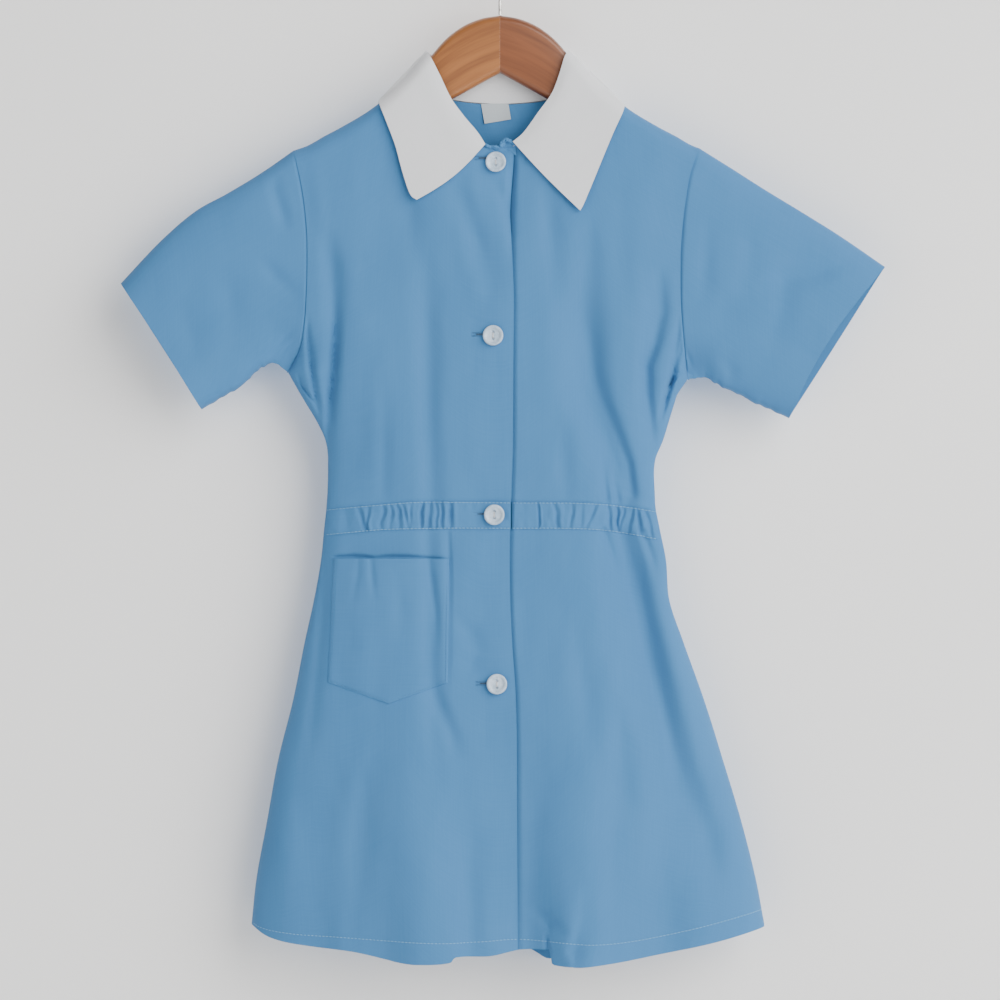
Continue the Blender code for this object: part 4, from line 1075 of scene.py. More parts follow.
@dataclass
class Panels:
    """Fronts, back and sleeves, as fine grids over the body."""

    dress: Dress
    row_step: float = 2.2
    level_drops: tuple[float, ...] = (332.0, 425.0, 445.0, 750.0)
    seam_guess: float = 130.0
    seam_steps: int = 12
    arm_rows: int = 74
    neck_columns: int = 46
    shoulder_columns: int = 44
    lap_columns: int = 10
    edge_share: float = 0.06
    edge_columns: int = 12
    ridge_rows: int = 14
    ridge_share: float = 0.04
    sleeve_rows: int = 84
    mouth_shares: tuple[float, float] = (0.04, 0.078)
    mouth_rows: int = 18
    back_fineness: float = 0.75
    hem_wall: float = 1.1

    def side_shares(self, span: float, start: float, fineness: float = 1.0) -> Array:
        """Shares across from the lap to the side seam, closer together near the seam."""
        corner = (self.dress.form.neck_side - start) / span
        near = np.arange(1, self.edge_columns + 1) / self.edge_columns
        neck = np.linspace(0, corner, int(self.neck_columns * fineness))
        outer = np.linspace(corner, 1 - self.edge_share, int(self.shoulder_columns * fineness))[1:]
        return np.concatenate([neck, outer, 1 - self.edge_share * (1 - near) ** 2])

    def arm_shares(self) -> Array:
        """Shares down from the shoulder ridge to the underarm, closer together at the ridge."""
        near = np.arange(self.ridge_rows) / self.ridge_rows
        return np.concatenate([self.ridge_share * near ** 2,
                               np.linspace(self.ridge_share, 1, self.arm_rows)])

    def levels(self, face: Face) -> list[Callable[[Number], Array]]:
        """Level lines of the lower rows: underarm to casing, casing, and casing to hem."""
        form = self.dress.form
        marks = (form.under_drop, form.band_top.at, form.band_foot.at, form.hem_line(face).at)
        made = []
        drops = self.level_drops
        for first, second, top, foot in zip(marks, marks[1:], drops, drops[1:]):
            count = max(int((foot - top) / self.row_step), 1)
            shares = np.arange(1, count + 1) / count
            if second is marks[-1]:
                start, stop = self.mouth_shares
                shares = np.concatenate([shares[shares < start - 0.003],
                                         np.linspace(start, stop, self.mouth_rows),
                                         shares[shares > stop + 0.003]])
            for share in shares:
                made.append(lambda x, a=first, b=second, s=share: a(x) * (1 - s) + b(x) * s)
        return made

    def seam_end(self, level: Callable[[Number], Array], hand: Hand) -> tuple[float, float]:
        """Place across and down where a level line meets the side seam, found by stepping to it."""
        x = self.seam_guess * hand.value
        for _ in range(self.seam_steps):
            x = float(self.dress.form.edge(float(level(x)), hand))
        return x, float(level(x))

    def arm_end(self, share: float, hand: Hand) -> tuple[float, float]:
        """Place across and down of the armhole at a share of its height."""
        form = self.dress.form
        under = form.under(hand)
        drop = form.tip_drop + share * (under - form.tip_drop)
        return float(form.edge(min(drop, under - TINY), hand)), drop

    def top_drop(self, x: Array, face: Face) -> Array:
        """Drop of a panel's upper edge: the neckline, then the shoulder ridge."""
        form = self.dress.form
        neck = form.front_neck if face is Face.FRONT else form.back_neck
        across = np.abs(x)
        return np.where(across < form.neck_side, neck.at(across), form.ridge.at(across))

    def hem_walls(self, x: Array, drop: Array, face: Face) -> Array:
        """Wall of the cloth: double below the hem's stitches."""
        below = drop - self.dress.form.hem_seam(x, face)
        return WALL + (self.hem_wall - WALL) * smooth(below / 0.8)

    def grid(self, face: Face, hands: Sequence[Hand],
             columns: Callable[[Sequence[tuple[float, float]]], Array]) -> tuple[Array, Array]:
        """Grid of a panel: rows down to the underarm, then along the level lines to the hem.

        Args:
            face: front or back.
            hands: sides whose seams the panel reaches.
            columns: places across of a row, from the ends of the row at those seams.

        Returns:
            Places across and down.
        """
        shares = self.arm_shares()
        across = [columns([self.arm_end(share, hand) for hand in hands]) for share in shares]
        start = self.top_drop(across[0], face)
        under = self.dress.form.under_drop
        down = [start * (1 - share) + under(x) * share for x, share in zip(across, shares)]
        for level in self.levels(face):
            x = columns([self.seam_end(level, hand) for hand in hands])
            across.append(x)
            down.append(level(x))
        return np.array(across), np.array(down)

    def front(self, hand: Hand) -> tuple[Array, Array]:
        """Grid of a front: the lap's columns, then columns out to the armhole and side seam."""
        form = self.dress.form
        right = hand is Hand.RIGHT
        wide = self.dress.lap_width
        first = form.lap_edge.values[0]
        start = wide - first if right else first
        shares = self.side_shares(abs(self.arm_end(0, hand)[0]) - start, start)

        def columns(ends: Sequence[tuple[float, float]]) -> Array:
            """Places across of one row, from the lap's edge to the seam."""
            end, drop = ends[0]
            over = float(form.lap_edge.at(drop)) - (0 if right else wide)
            inner = over + hand.value * wide
            lap = np.linspace(over, inner, self.lap_columns + 1)[:-1]
            return np.concatenate([lap, inner + shares * (end - inner)])

        return self.grid(Face.FRONT, [hand], columns)

    def back(self) -> tuple[Array, Array]:
        """Grid of the back, from one side seam to the other."""
        right, left = (self.side_shares(abs(self.arm_end(0, hand)[0]), 0.0, self.back_fineness)
                       for hand in Hand)

        def columns(ends: Sequence[tuple[float, float]]) -> Array:
            """Places across of one row, from seam to seam."""
            return np.concatenate([(right * ends[0][0])[::-1], (left * ends[1][0])[1:]])

        return self.grid(Face.BACK, list(Hand), columns)


@dataclass(frozen=True)
class SleeveForm:
    """Lines of one sleeve from the armhole to the cuff, with its creases."""

    name: str
    hand: Hand
    top_across: tuple[float, ...]
    top_drop: tuple[float, ...]
    foot_across: tuple[float, ...]
    foot_drop: tuple[float, ...]
    half_depth: tuple[float, ...]
    front_pull: float
    front_creases: tuple[Crease, ...]
    back_creases: tuple[Crease, ...]
    noise: SoftNoise
    bow: float
    crease_gain: float = 1.6
    seam_groove: float = 0.9
    ragged: SoftNoise = SoftNoise((4.5, 9), 0.7, 71)
    crumple: SoftNoise = SoftNoise((15, 19), 0.4, 72)

    def rings(self, front_edge: Array, back_edge: Array, rows: int, pillow: float) -> Array:
        """Rings from the armhole's own points out to the cuff.

        Each ring runs along a straight line from the sleeve's top to its foot. It keeps
        the armhole's bend at first, and grows into its own flattened round.

        Args:
            front_edge: armhole points of the front, from the shoulder down.
            back_edge: armhole points of the back, from the shoulder down.
            rows: how many rings.
            pillow: power of the flattened round.

        Returns:
            Grid of points, one row for each ring.
        """
        count = len(front_edge)
        ring = np.concatenate([front_edge, back_edge[-2:0:-1]])
        ring[[0, count - 1], 1] = 0
        share = (ring[:, 2] - ring[0, 2]) / (ring[count - 1, 2] - ring[0, 2])
        bend = ring - (ring[0] + share[:, None] * (ring[count - 1] - ring[0]))
        face = np.where(np.arange(len(ring)) < count, -1.0, 1.0)
        stations = (0, 0.2, 0.4, 0.6, 0.8, 1)
        near = np.linspace(0, 1, 9)[:-1]
        s = np.concatenate([0.03 * near ** 1.6, np.linspace(0.03, 0.985, rows - 14),
                            1 - 0.015 * (1 - np.linspace(0, 1, 7)[1:]) ** 1.6])[:, None]
        top_x = Curve(stations, self.top_across).at(s)
        top_z = -Curve(stations, self.top_drop).at(s)
        foot_x = Curve(stations, self.foot_across).at(s)
        foot_z = -Curve(stations, self.foot_drop).at(s)
        rounded = np.sqrt(np.clip(1 - np.abs(2 * share - 1) ** pillow, 0, 1))
        own = face * rounded * Curve(stations, self.half_depth).at(s)
        blend = smooth(s * 2.5)
        x = top_x + share * (foot_x - top_x) + bend[:, 0] * (1 - s) ** 2
        z = top_z + share * (foot_z - top_z)
        y = bend[:, 1] * (1 - blend) + own * blend
        pull = self.front_pull * s ** 6 * np.sin(math.pi * share) * (face < 0)
        bow = self.bow * s ** 6 * np.sin(math.pi * share)
        x = x + self.hand.value * (bow - pull)
        ragged = self.ragged.at(s * 100, 0 * z) * smooth(s * 5) * smooth((1 - s) * 12)
        z = z - 0.6 * bow + ragged * share ** 16
        worn = np.sin(math.pi * np.clip(share, 0, 1)) ** 0.5 * smooth(s / 0.03)
        ahead, behind = (self.crease_gain * total_depth(creases, x, -z)
                         for creases in (self.front_creases, self.back_creases))
        ahead = ahead + self.noise.at(x, -z) + self.crumple.at(x, -z)
        behind = behind + self.noise.at(x, -z - 200)
        seam = self.seam_groove * np.exp(-(s / 0.01) ** 2)
        y = y - face * (np.where(face < 0, ahead, behind) * worn + seam * rounded)
        return np.stack([x, y, z], axis=-1)


RIGHT_SLEEVE = SleeveForm(
    name="sleeve_right", hand=Hand.RIGHT,
    top_across=(-150.5, -173.7, -198.6, -222.7, -248.2, -276.8),
    top_drop=(168, 184.2, 199.3, 212.8, 234.8, 265.2),
    foot_across=(-154.8, -165, -176.7, -185.4, -200, -217.8),
    foot_drop=(330, 323.7, 328.6, 337.4, 347, 357.2),
    half_depth=(12, 12, 12, 12.5, 13.5, 15), front_pull=1.5, bow=0.2,
    front_creases=(
        Crease(((-162.8, 184, 4, 0), (-164.3, 198, 5, 1.5), (-159, 214, 5, 1.5),
                (-154.8, 228, 4, 0))),
        Crease(((-176, 246, 5, 0), (-164, 260, 6, 1.2), (-150.4, 272, 5, 0.4))),
        Crease(((-177, 324, 1.6, 0), (-167.9, 317, 1.8, 1.2), (-157, 306, 1.8, 1.2),
                (-147.5, 299, 1.8, 0))),
        Crease(((-170, 324, 1.4, 0), (-161, 318, 1.6, 1.0), (-152, 309, 1.6, 0.9),
                (-147, 305, 1.6, 0))),
        Crease(((-165, 323, 1.6, 0.4), (-161, 325.5, 2, 2.2), (-157, 327.5, 1.5, 0.4))),
        Crease(((-205, 250, 9, 0), (-196, 280, 10, 1.1), (-188, 310, 9, 0))),
        Crease(((-240, 262, 8, 0), (-226, 300, 9, 0.8), (-214, 335, 8, 0))),
    ),
    back_creases=(
        Crease(((-160, 200, 5, 0), (-166, 250, 6, 1.5), (-160, 300, 5, 0))),
        Crease(((-200, 230, 8, 0), (-192, 270, 9, 1.3), (-184, 312, 8, 0))),
        Crease(((-178, 322, 2, 0), (-164, 308, 2, 1.2), (-150, 296, 2, 0))),
    ),
    noise=SoftNoise((32, 48), 1.1, 21))

LEFT_SLEEVE = SleeveForm(
    name="sleeve_left", hand=Hand.LEFT,
    top_across=(145.3, 169.4, 194.2, 219.7, 248.2, 281.1),
    top_drop=(166.4, 181.5, 197.3, 212.8, 230.6, 253.2),
    foot_across=(137, 148.2, 162, 177.4, 192.7, 211),
    foot_drop=(335, 334.2, 340.8, 348, 355.6, 363.6),
    half_depth=(12, 12, 12, 12.5, 13.5, 15), front_pull=8.0, bow=0.4,
    front_creases=(
        Crease(((160, 316, 6, 0), (168, 331, 6, 1.5), (172, 342, 5, 0.4))),
        Crease(((134, 312, 1.8, 0), (137.5, 320, 1.8, 1.2), (141.6, 328, 1.8, 0.3))),
        Crease(((131, 331.5, 1, 0.3), (141, 331.6, 1, 0.9), (149.5, 332.6, 1.2, 1.6),
                (152, 333, 1.2, 0))),
        Crease(((152, 215, 6, 0), (150, 250, 7, 1.0), (146, 290, 6, 0))),
        Crease(((184, 270, 8, 0), (205, 263, 8, 1.3), (235, 257, 7, 1.5), (262, 249, 5, 0))),
        Crease(((215, 240, 9, 0), (206, 280, 10, 1.0), (198, 320, 9, 0))),
        Crease(((176, 210, 7, 0), (182, 240, 8, 0.7), (180, 275, 7, 0))),
    ),
    back_creases=(
        Crease(((152, 205, 5, 0), (156, 250, 6, 1.4), (150, 300, 5, 0))),
        Crease(((205, 235, 8, 0), (197, 275, 9, 1.2), (190, 318, 8, 0))),
        Crease(((172, 330, 2, 0), (158, 316, 2, 1.2), (142, 306, 2, 0))),
    ),
    noise=SoftNoise((32, 48), 1.1, 22))


@dataclass(frozen=True)
class Gather:
    """One pucker of the casing: places across at its top and foot, half width and depth."""

    top: float
    foot: float
    width: float
    depth: float


@dataclass
class Casing:
    """Elastic casing: the cloth gathered between two lines of stitches."""

    dress: Dress
    finishes: Finishes
    part: str
    face: Face
    start: Union[float, Hand]
    stop: Union[float, Hand]
    gathers: tuple[Gather, ...]
    under_lap: bool = False
    level: float = 425.0
    tall: float = 20.0
    side_ease: float = 6.0
    wall: float = 0.4
    swell: float = 0.5
    crest: float = 0.35
    base: float = 0.2
    sink: float = 0.4
    rim_share: float = 20.0
    columns: int = 210
    rows: int = 24
    gain: float = 0.8
    wander: SoftNoise = SoftNoise((15, 8), 1.3, 51)
    uneven: SoftNoise = SoftNoise((7, 9), 0.5, 52)
    crumple: SoftNoise = SoftNoise((3.4, 7), 0.3, 53)

    def end(self, at: Union[float, Hand], share: Array) -> Array:
        """Place across of an end: the side seam, or a place of its own."""
        if isinstance(at, Hand):
            return self.dress.form.edge(self.level + self.tall * share, at)
        return at + 0 * share

    def build(self) -> None:
        """Casing in the trench of the panel: each gather is a trough with a crest beside it.

        Its first and last rows dip into the panel, so that its edges don't show.
        """
        form = self.dress.form
        share, across = np.meshgrid(np.linspace(0, 1, self.rows), np.linspace(0, 1, self.columns),
                                    indexing="ij")
        start, stop = (self.end(at, share) for at in (self.start, self.stop))
        x = start + across * (stop - start)
        drop = form.band_top.at(x) * (1 - share) + form.band_foot.at(x) * share
        held = np.sin(math.pi * share)
        height = self.swell * held + self.crumple.at(x, drop) * held ** 0.5
        strength = self.gain * (1 + self.uneven.at(x, drop))
        for gather in self.gathers:
            away = x + self.wander.at(x, drop) - gather.top - (gather.foot - gather.top) * share
            depth = gather.depth * strength
            height = height - depth * held ** 0.3 * np.exp(-(away / gather.width) ** 2)
            crest = np.exp(-((away - 2 * gather.width) / gather.width) ** 2)
            height = height + self.crest * depth * held ** 0.5 * crest
        height = height * smooth(form.inward(x, drop) / self.side_ease)
        rim = smooth(np.minimum(share, 1 - share) * self.rim_share)
        lift = (self.base + self.sink) * rim - self.sink + height
        outward = AHEAD * -self.face.value
        points = self.dress.surface(x, drop, self.face, self.under_lap) + outward * lift[..., None]
        Cloth(f"casing_{self.part}", points, outward, self.wall).make(
            self.finishes.blue, "blue_cotton", [f"waist_band_{self.part}"], [], "gathered")


@dataclass
class Pocket:
    """Patch pocket with a pointed foot, turned in round its edges and open at the top."""

    dress: Dress
    finishes: Finishes
    left_top: float = -121.5
    right_top: float = -37.0
    left_low: float = -125.5
    right_low: float = -38.0
    point: float = -81.0
    top: float = 466.0
    low: float = 556.0
    foot: float = 571.5
    swell: float = 1.4
    mouth: float = 2.0
    edge: float = 1.3
    inset: float = 1.6
    groove: float = 0.25
    steps: int = 90
    edge_pull: float = 0.35
    uneven: SoftNoise = SoftNoise((16, 24), 0.35, 31)
    creases: tuple[Crease, ...] = (
        Crease(((-102.9, 466, 2.2, 0.4), (-103.6, 476, 2.6, 0.8), (-105.9, 490, 2.6, 0.5),
                (-108, 504, 2.6, 0))),
        Crease(((-94, 466, 2.2, 0.8), (-93, 478, 2.4, 1.2), (-92, 489, 2.4, 0.5),
                (-91, 500, 2.8, 0))),
        Crease(((-51.8, 466, 2.6, 0.6), (-50, 480, 2.8, 1.4), (-46.5, 505, 2.8, 1.1),
                (-46, 535, 3, 0))),
        Crease(((-76, 470, 4, 0), (-72, 500, 5, 0.7), (-70, 540, 5, 0))))

    def line(self, across: Array, down: Array) -> tuple[Array, Array]:
        """Places across and down of shares of the pocket, with its pointed foot."""
        left = self.left_top + (self.left_low - self.left_top) * down
        right = self.right_top + (self.right_low - self.right_top) * down
        x = left + across * (right - left)
        point = (self.point - self.left_low) / (self.right_low - self.left_low)
        to_side = np.where(across < point, across / point, (1 - across) / (1 - point))
        low = self.low + (self.foot - self.low) * to_side
        return x, self.top + down * (low - self.top)

    def build(self) -> None:
        """Pocket over the front: it swells in the middle and stands off at the mouth."""
        even = np.linspace(0, 1, self.steps)
        shares = even + self.edge_pull * ((1 - np.cos(math.pi * even)) / 2 - even)
        down, across = np.meshgrid(shares, shares, indexing="ij")
        x, drop = self.line(across, down)
        near_side = np.minimum(across, 1 - across) * (self.right_top - self.left_top)
        near_foot = (1 - down) * (self.low - self.top)
        near = np.minimum(near_side, near_foot)
        turned = np.sqrt(1 - (1 - np.clip(near / self.edge, 0, 1)) ** 2)
        middle = np.sin(math.pi * across)
        lift = 0.15 + 0.95 * turned + self.swell * middle * np.sin(math.pi * down) ** 0.8
        lift = lift + self.mouth * middle ** 0.6 * (1 - down) ** 4
        lift = lift - self.groove * np.exp(-((near - self.inset) / 0.6) ** 2)
        lift = lift - total_depth(self.creases, x, drop) * smooth(near / 5)
        lift = lift + self.uneven.at(x, drop) * turned
        points = self.dress.surface(x, drop, Face.FRONT) + AHEAD * lift[..., None]
        Cloth("pocket_cloth", points, AHEAD, 0.5).make(
            self.finishes.blue, "blue_cotton", ["pocket"], ["front_right"])
        self.sewn()

    def sewn(self) -> None:
        """Stitches down the sides and round the foot, just inside the edge."""
        steps = np.linspace(0, 1, 60)
        side = self.inset / (self.right_top - self.left_top)
        foot = 1 - self.inset / (self.low - self.top)
        runs = []
        for across, down in ((side + 0 * steps, steps * foot), (1 - side + 0 * steps, steps * foot),
                             (side + steps * (1 - 2 * side), foot + 0 * steps)):
            x, drop = self.line(across, down)
            points = self.dress.surface(x, drop, Face.FRONT) + AHEAD * 0.95
            runs.append(ThreadRun(points, self.dress.normals(x, drop, Face.FRONT),
                                  thick=0.3, width=0.32))
        # the thread is darker than the cloth: partly painted shade along the pocket's edge
        sew("pocket_stitches", runs, self.finishes.thread_and_edge_shade, "blue_cotton")


class Tailor:
    """Makes the cloth of the dress: panels, sleeves, casing and pocket, with their sewing."""

    def __init__(self, dress: Dress, finishes: Finishes) -> None:
        """Keep the form and the finishes."""
        self.dress = dress
        self.finishes = finishes
        self.panels = Panels(dress)

    def build(self) -> None:
        """Make every piece of blue cloth."""
        fronts = {hand: self.front(hand) for hand in (Hand.RIGHT, Hand.LEFT)}
        across, down = self.panels.back()
        back = self.dress.surface(across, down, Face.BACK, trench=True)
        walls = self.panels.hem_walls(across, down, Face.BACK)
        Cloth("back_panel", back, -AHEAD, walls).make(
            self.finishes.blue, "blue_cotton", ["back"], ["hanger_arm_right", "hanger_arm_left"])
        rows = len(self.panels.arm_shares())
        self.sleeve(RIGHT_SLEEVE, fronts[Hand.RIGHT][:rows, -1], back[:rows, 0])
        self.sleeve(LEFT_SLEEVE, fronts[Hand.LEFT][:rows, -1], back[:rows, -1])
        self.casings()
        Pocket(self.dress, self.finishes).build()
        self.stitches()

    def front(self, hand: Hand) -> Array:
        """One front, with its double hem."""
        across, down = self.panels.front(hand)
        under = hand is Hand.LEFT
        points = self.dress.surface(across, down, Face.FRONT, under, True)
        walls = self.panels.hem_walls(across, down, Face.FRONT)
        node = "front_left" if under else "front_right"
        Cloth(f"{node}_panel", points, AHEAD, walls).make(
            self.finishes.blue, "blue_cotton", [node], ["hanger_arm_right", "hanger_arm_left"])
        return points

    def sleeve(self, form: SleeveForm, front_edge: Array, back_edge: Array) -> None:
        """One sleeve, from the armhole's own points."""
        rings = form.rings(front_edge, back_edge, self.panels.sleeve_rows, self.dress.form.pillow)
        outward = rings - rings.mean(axis=1, keepdims=True)
        carried = ["front_right_panel", "front_left_panel"]
        Cloth(f"{form.name}_cloth", rings, outward, WALL, wrap=True).make(
            self.finishes.blue, "blue_cotton", [form.name], carried)

    def casings(self) -> None:
        """The three strips of the waist casing, with the gathers that the photo shows."""
        right = tuple(Gather(*row) for row in (
            (-104, -97.5, 1.7, 2.0), (-95.7, -97.2, 1.2, 1.4), (-84.6, -86.4, 1.4, 1.5),
            (-79.4, -80.6, 1.2, 1.4), (-75.2, -73.4, 1.6, 1.9), (-71.5, -67.6, 1.3, 1.4),
            (-65, -66.4, 1.1, 0.9), (-56.6, -57.9, 1.3, 1.9), (-50.4, -51.6, 1.5, 2.1),
            (-45.8, -45.4, 1.2, 1.7), (-42.2, -41.5, 1.1, 2.0), (-36.6, -36.4, 1.4, 2.1),
            (-113, -112, 3, 0.7)))
        left = tuple(Gather(*row) for row in (
            (27.8, 27.9, 0.8, 1.8), (39.4, 42.6, 1.7, 1.7), (53.4, 51.2, 1.4, 1.1),
            (60.5, 59.5, 1.3, 0.7), (69.6, 62.4, 1.3, 1.4), (77.6, 79.4, 1.6, 2.2),
            (84.7, 85.4, 1.2, 2.2), (89.8, 86.6, 1.1, 1.6), (96.8, 92.8, 1.4, 1.7),
            (100.2, 102.6, 1.5, 2.2), (106.2, 111.4, 1.8, 2.2)))
        rng = np.random.default_rng(14)
        places = np.linspace(-120, 108, 44) + rng.uniform(-1.6, 1.6, 44)
        slants = rng.uniform(-2.2, 2.2, 44)
        sizes = rng.uniform(0.9, 2.1, 44)
        behind = tuple(Gather(float(x), float(x + s), 1.1 + 0.25 * float(d), float(d))
                       for x, s, d in zip(places, slants, sizes))
        edge = float(self.dress.form.lap_edge.at(435))
        shared = (self.dress, self.finishes)
        Casing(*shared, "right_front", Face.FRONT, edge, Hand.RIGHT, right).build()
        Casing(*shared, "left_front", Face.FRONT, edge + 0.6, Hand.LEFT, left, True).build()
        Casing(*shared, "back", Face.BACK, Hand.RIGHT, Hand.LEFT, behind, columns=320).build()

    def line(self, start: float, stop: float, level: Callable[[Number, Face], Array], face: Face,
             under_lap: bool = False, out: float = 0.0) -> ThreadRun:
        """Run of stitches along a level line of the body.

        Args:
            start: place across where it starts.
            stop: place across where it stops.
            level: drop of the line at places across on a face.
            face: front or back.
            under_lap: true on the front that lies under.
            out: how far it stands off the surface.

        Returns:
            The run.
        """
        x = np.linspace(start, stop, 220)
        drop = level(x, face)
        normals = self.dress.normals(x, drop, face, under_lap)
        points = self.dress.surface(x, drop, face, under_lap) + normals * out
        return ThreadRun(points, normals)

    def round_body(self, level: Callable[[Number, Face], Array], drop: float, lap_drop: float,
                   out: float = 0.0) -> list[ThreadRun]:
        """Stitches along a level line of both fronts and the back.

        Args:
            level: drop of the line at places across on a face.
            drop: drop at which the side seams are taken.
            lap_drop: drop at which the lap's edge is taken.
            out: how far the stitches stand off the surface.

        Returns:
            The three runs.
        """
        form = self.dress.form
        lap = float(form.lap_edge.at(lap_drop))
        right = float(form.edge(drop, Hand.RIGHT)) + 1
        left = float(form.edge(drop, Hand.LEFT)) - 1
        return [self.line(right, lap - 0.5, level, Face.FRONT, out=out),
                self.line(lap + 1, left, level, Face.FRONT, True, out=out),
                self.line(right, left, level, Face.BACK, out=out)]

    def stitches(self) -> None:
        """Stitches of the hem and the casing, front and back."""
        form = self.dress.form
        sew("hem_stitches", self.round_body(form.hem_seam, 725.0, 740.0), self.finishes.thread,
            "blue_cotton")
        runs = []
        for curve, inset in ((form.band_top, 1.1), (form.band_foot, -1.1)):

            def level(x: Number, _: Face, curve: Curve = curve, inset: float = inset) -> Array:
                """Drop of one line of the casing's stitches, the same on both faces."""
                return curve.at(x) + inset

            runs += self.round_body(level, 435.0, 430.0, 0.3)
        sew("casing_stitches", runs, self.finishes.thread, "blue_cotton")


@dataclass
class Collar:
    """White folded collar: a stand that rises from the neck seam, a roll and a pointed fall."""

    dress: Dress
    finishes: Finishes
    steps: int = 9
    lean: float = 40.0
    wall: float = 1.0
    ridge_lift: float = -1.6
    neck_gap: float = 0.7
    bulge_right: float = 3.6
    bulge_left: float = 1.0
    uneven: SoftNoise = SoftNoise((22, 22), 0.35, 41)
    profile: Curve = Curve((0, 0.5, 0.9, 1, 1.1, 1.4, 1.7, 2),
                           (-0.6, -0.6, -0.4, 1.0, 2.6, 2.9, 3.0, 2.9))
    right: tuple[tuple[float, ...], ...] = (
        (-11, -11, 164.4, -60.6, 204.9, 90), (-17, -17, 155, -65.6, 200.4, 90),
        (-30, -27, 143, -71.2, 183.9, 90), (-45, -36, 130.5, -75.9, 166.3, 90),
        (-58, -44, 114, -81.5, 151, 88), (-66, -50.5, 101, -86, 139, 70),
        (-69.4, -53, 96.5, -87.5, 133, 0), (-66, -50, 98.5, -87, 139, -70),
        (-54, -42, 100, -76, 152, -88), (-30, -24, 101.5, -44, 157, -90),
        (0, 0, 102, 0, 158, -90))
    left: tuple[tuple[float, ...], ...] = (
        (9.5, 9.5, 162.5, 58.4, 212.8, 90), (17, 17.5, 155.5, 61.2, 207.4, 90),
        (30, 28, 141, 67.6, 192.2, 90), (45, 38, 127, 75.2, 173.6, 90),
        (58, 43.5, 113, 82.5, 156.1, 88), (66, 47, 101, 88.3, 143, 70),
        (69.4, 49.5, 96.5, 90, 136, 0), (66, 48, 98.5, 88.5, 143, -70),
        (54, 42, 100, 77, 153, -88), (30, 24, 101.5, 44, 157, -90),
        (0, 0, 102, 0, 158, -90))

    def half(self, rows: tuple[tuple[float, ...], ...], sign: float) -> Array:
        """Middle surface of one half, from its front end to the middle of the back.

        Each station goes straight up the stand and straight down the fall; it is moved
        out from the body by the profile, and the direction turns over the shoulder.

        Args:
            rows: table of stations.
            sign: sign of X on this side.

        Returns:
            Grid of points, one row for each station.
        """
        station = tuple(range(len(rows)))
        fine = np.linspace(0, len(rows) - 1, (len(rows) - 1) * self.steps + 1)[:, None]
        columns = [Curve(station, tuple(column)).at(fine) for column in zip(*rows)]
        neck_x, roll_x, roll_drop, edge_x, edge_drop, degrees = columns
        turn = np.radians(degrees)
        lean = math.radians(self.lean)
        outward = np.stack([sign * np.cos(turn) * math.sin(lean), -np.sin(turn),
                            np.cos(turn) * math.cos(lean)], axis=-1)
        form = self.dress.form
        behind = degrees < 0
        neck_drop = np.where(behind, form.back_neck.at(np.abs(neck_x)),
                             form.front_neck.at(np.abs(neck_x))) - self.neck_gap
        share = np.concatenate([np.linspace(0, 0.88, 12), np.linspace(0.9, 1.12, 12),
                                np.linspace(1.15, 1.94, 26), [1.97, 2.0]])[None, :]
        up = np.clip(share, 0, 1)
        out = np.clip(share - 1, 0, 1)
        x = np.where(share <= 1, neck_x * (1 - up) + roll_x * up, roll_x * (1 - out) + edge_x * out)
        drop = np.where(share <= 1, neck_drop * (1 - up) + roll_drop * up,
                        roll_drop * (1 - out) + edge_drop * out)
        depth = np.where(behind, form.depth(x, drop, Face.BACK, self.dress.back_folds),
                         form.depth(x, drop, Face.FRONT, self.dress.front_folds))
        side = np.sign(-degrees) + 0 * share
        bulge = np.sin(math.pi * out) * np.clip(1 - fine / 1.2, 0, 1)
        bulge = bulge * (self.bulge_right if sign < 0 else self.bulge_left)
        x = x - sign * bulge * 0.64
        drop = drop + bulge * 0.77
        base = np.stack([x, side * depth, -drop], axis=-1)
        clear = self.profile.at(share) + self.ridge_lift * np.cos(turn) * smooth((share - 1) / 0.1)
        clear = clear + self.uneven.at(x, drop) * smooth((share - 1) / 0.3)
        return base + outward * clear[..., None]

    def build(self) -> None:
        """Whole collar, its two halves joined at the middle of the back."""
        right = self.half(self.right, -1.0)
        left = self.half(self.left, 1.0)
        middle = np.concatenate([right, left[::-1][1:]])
        normal = grid_normals(middle, UP)
        cloth = Cloth("collar_cloth", middle + normal * self.wall / 2, normal, self.wall)
        cloth.make(self.finishes.white, "white_cotton", ["collar"],
                   ["front_right_panel", "back_panel"], "folded")


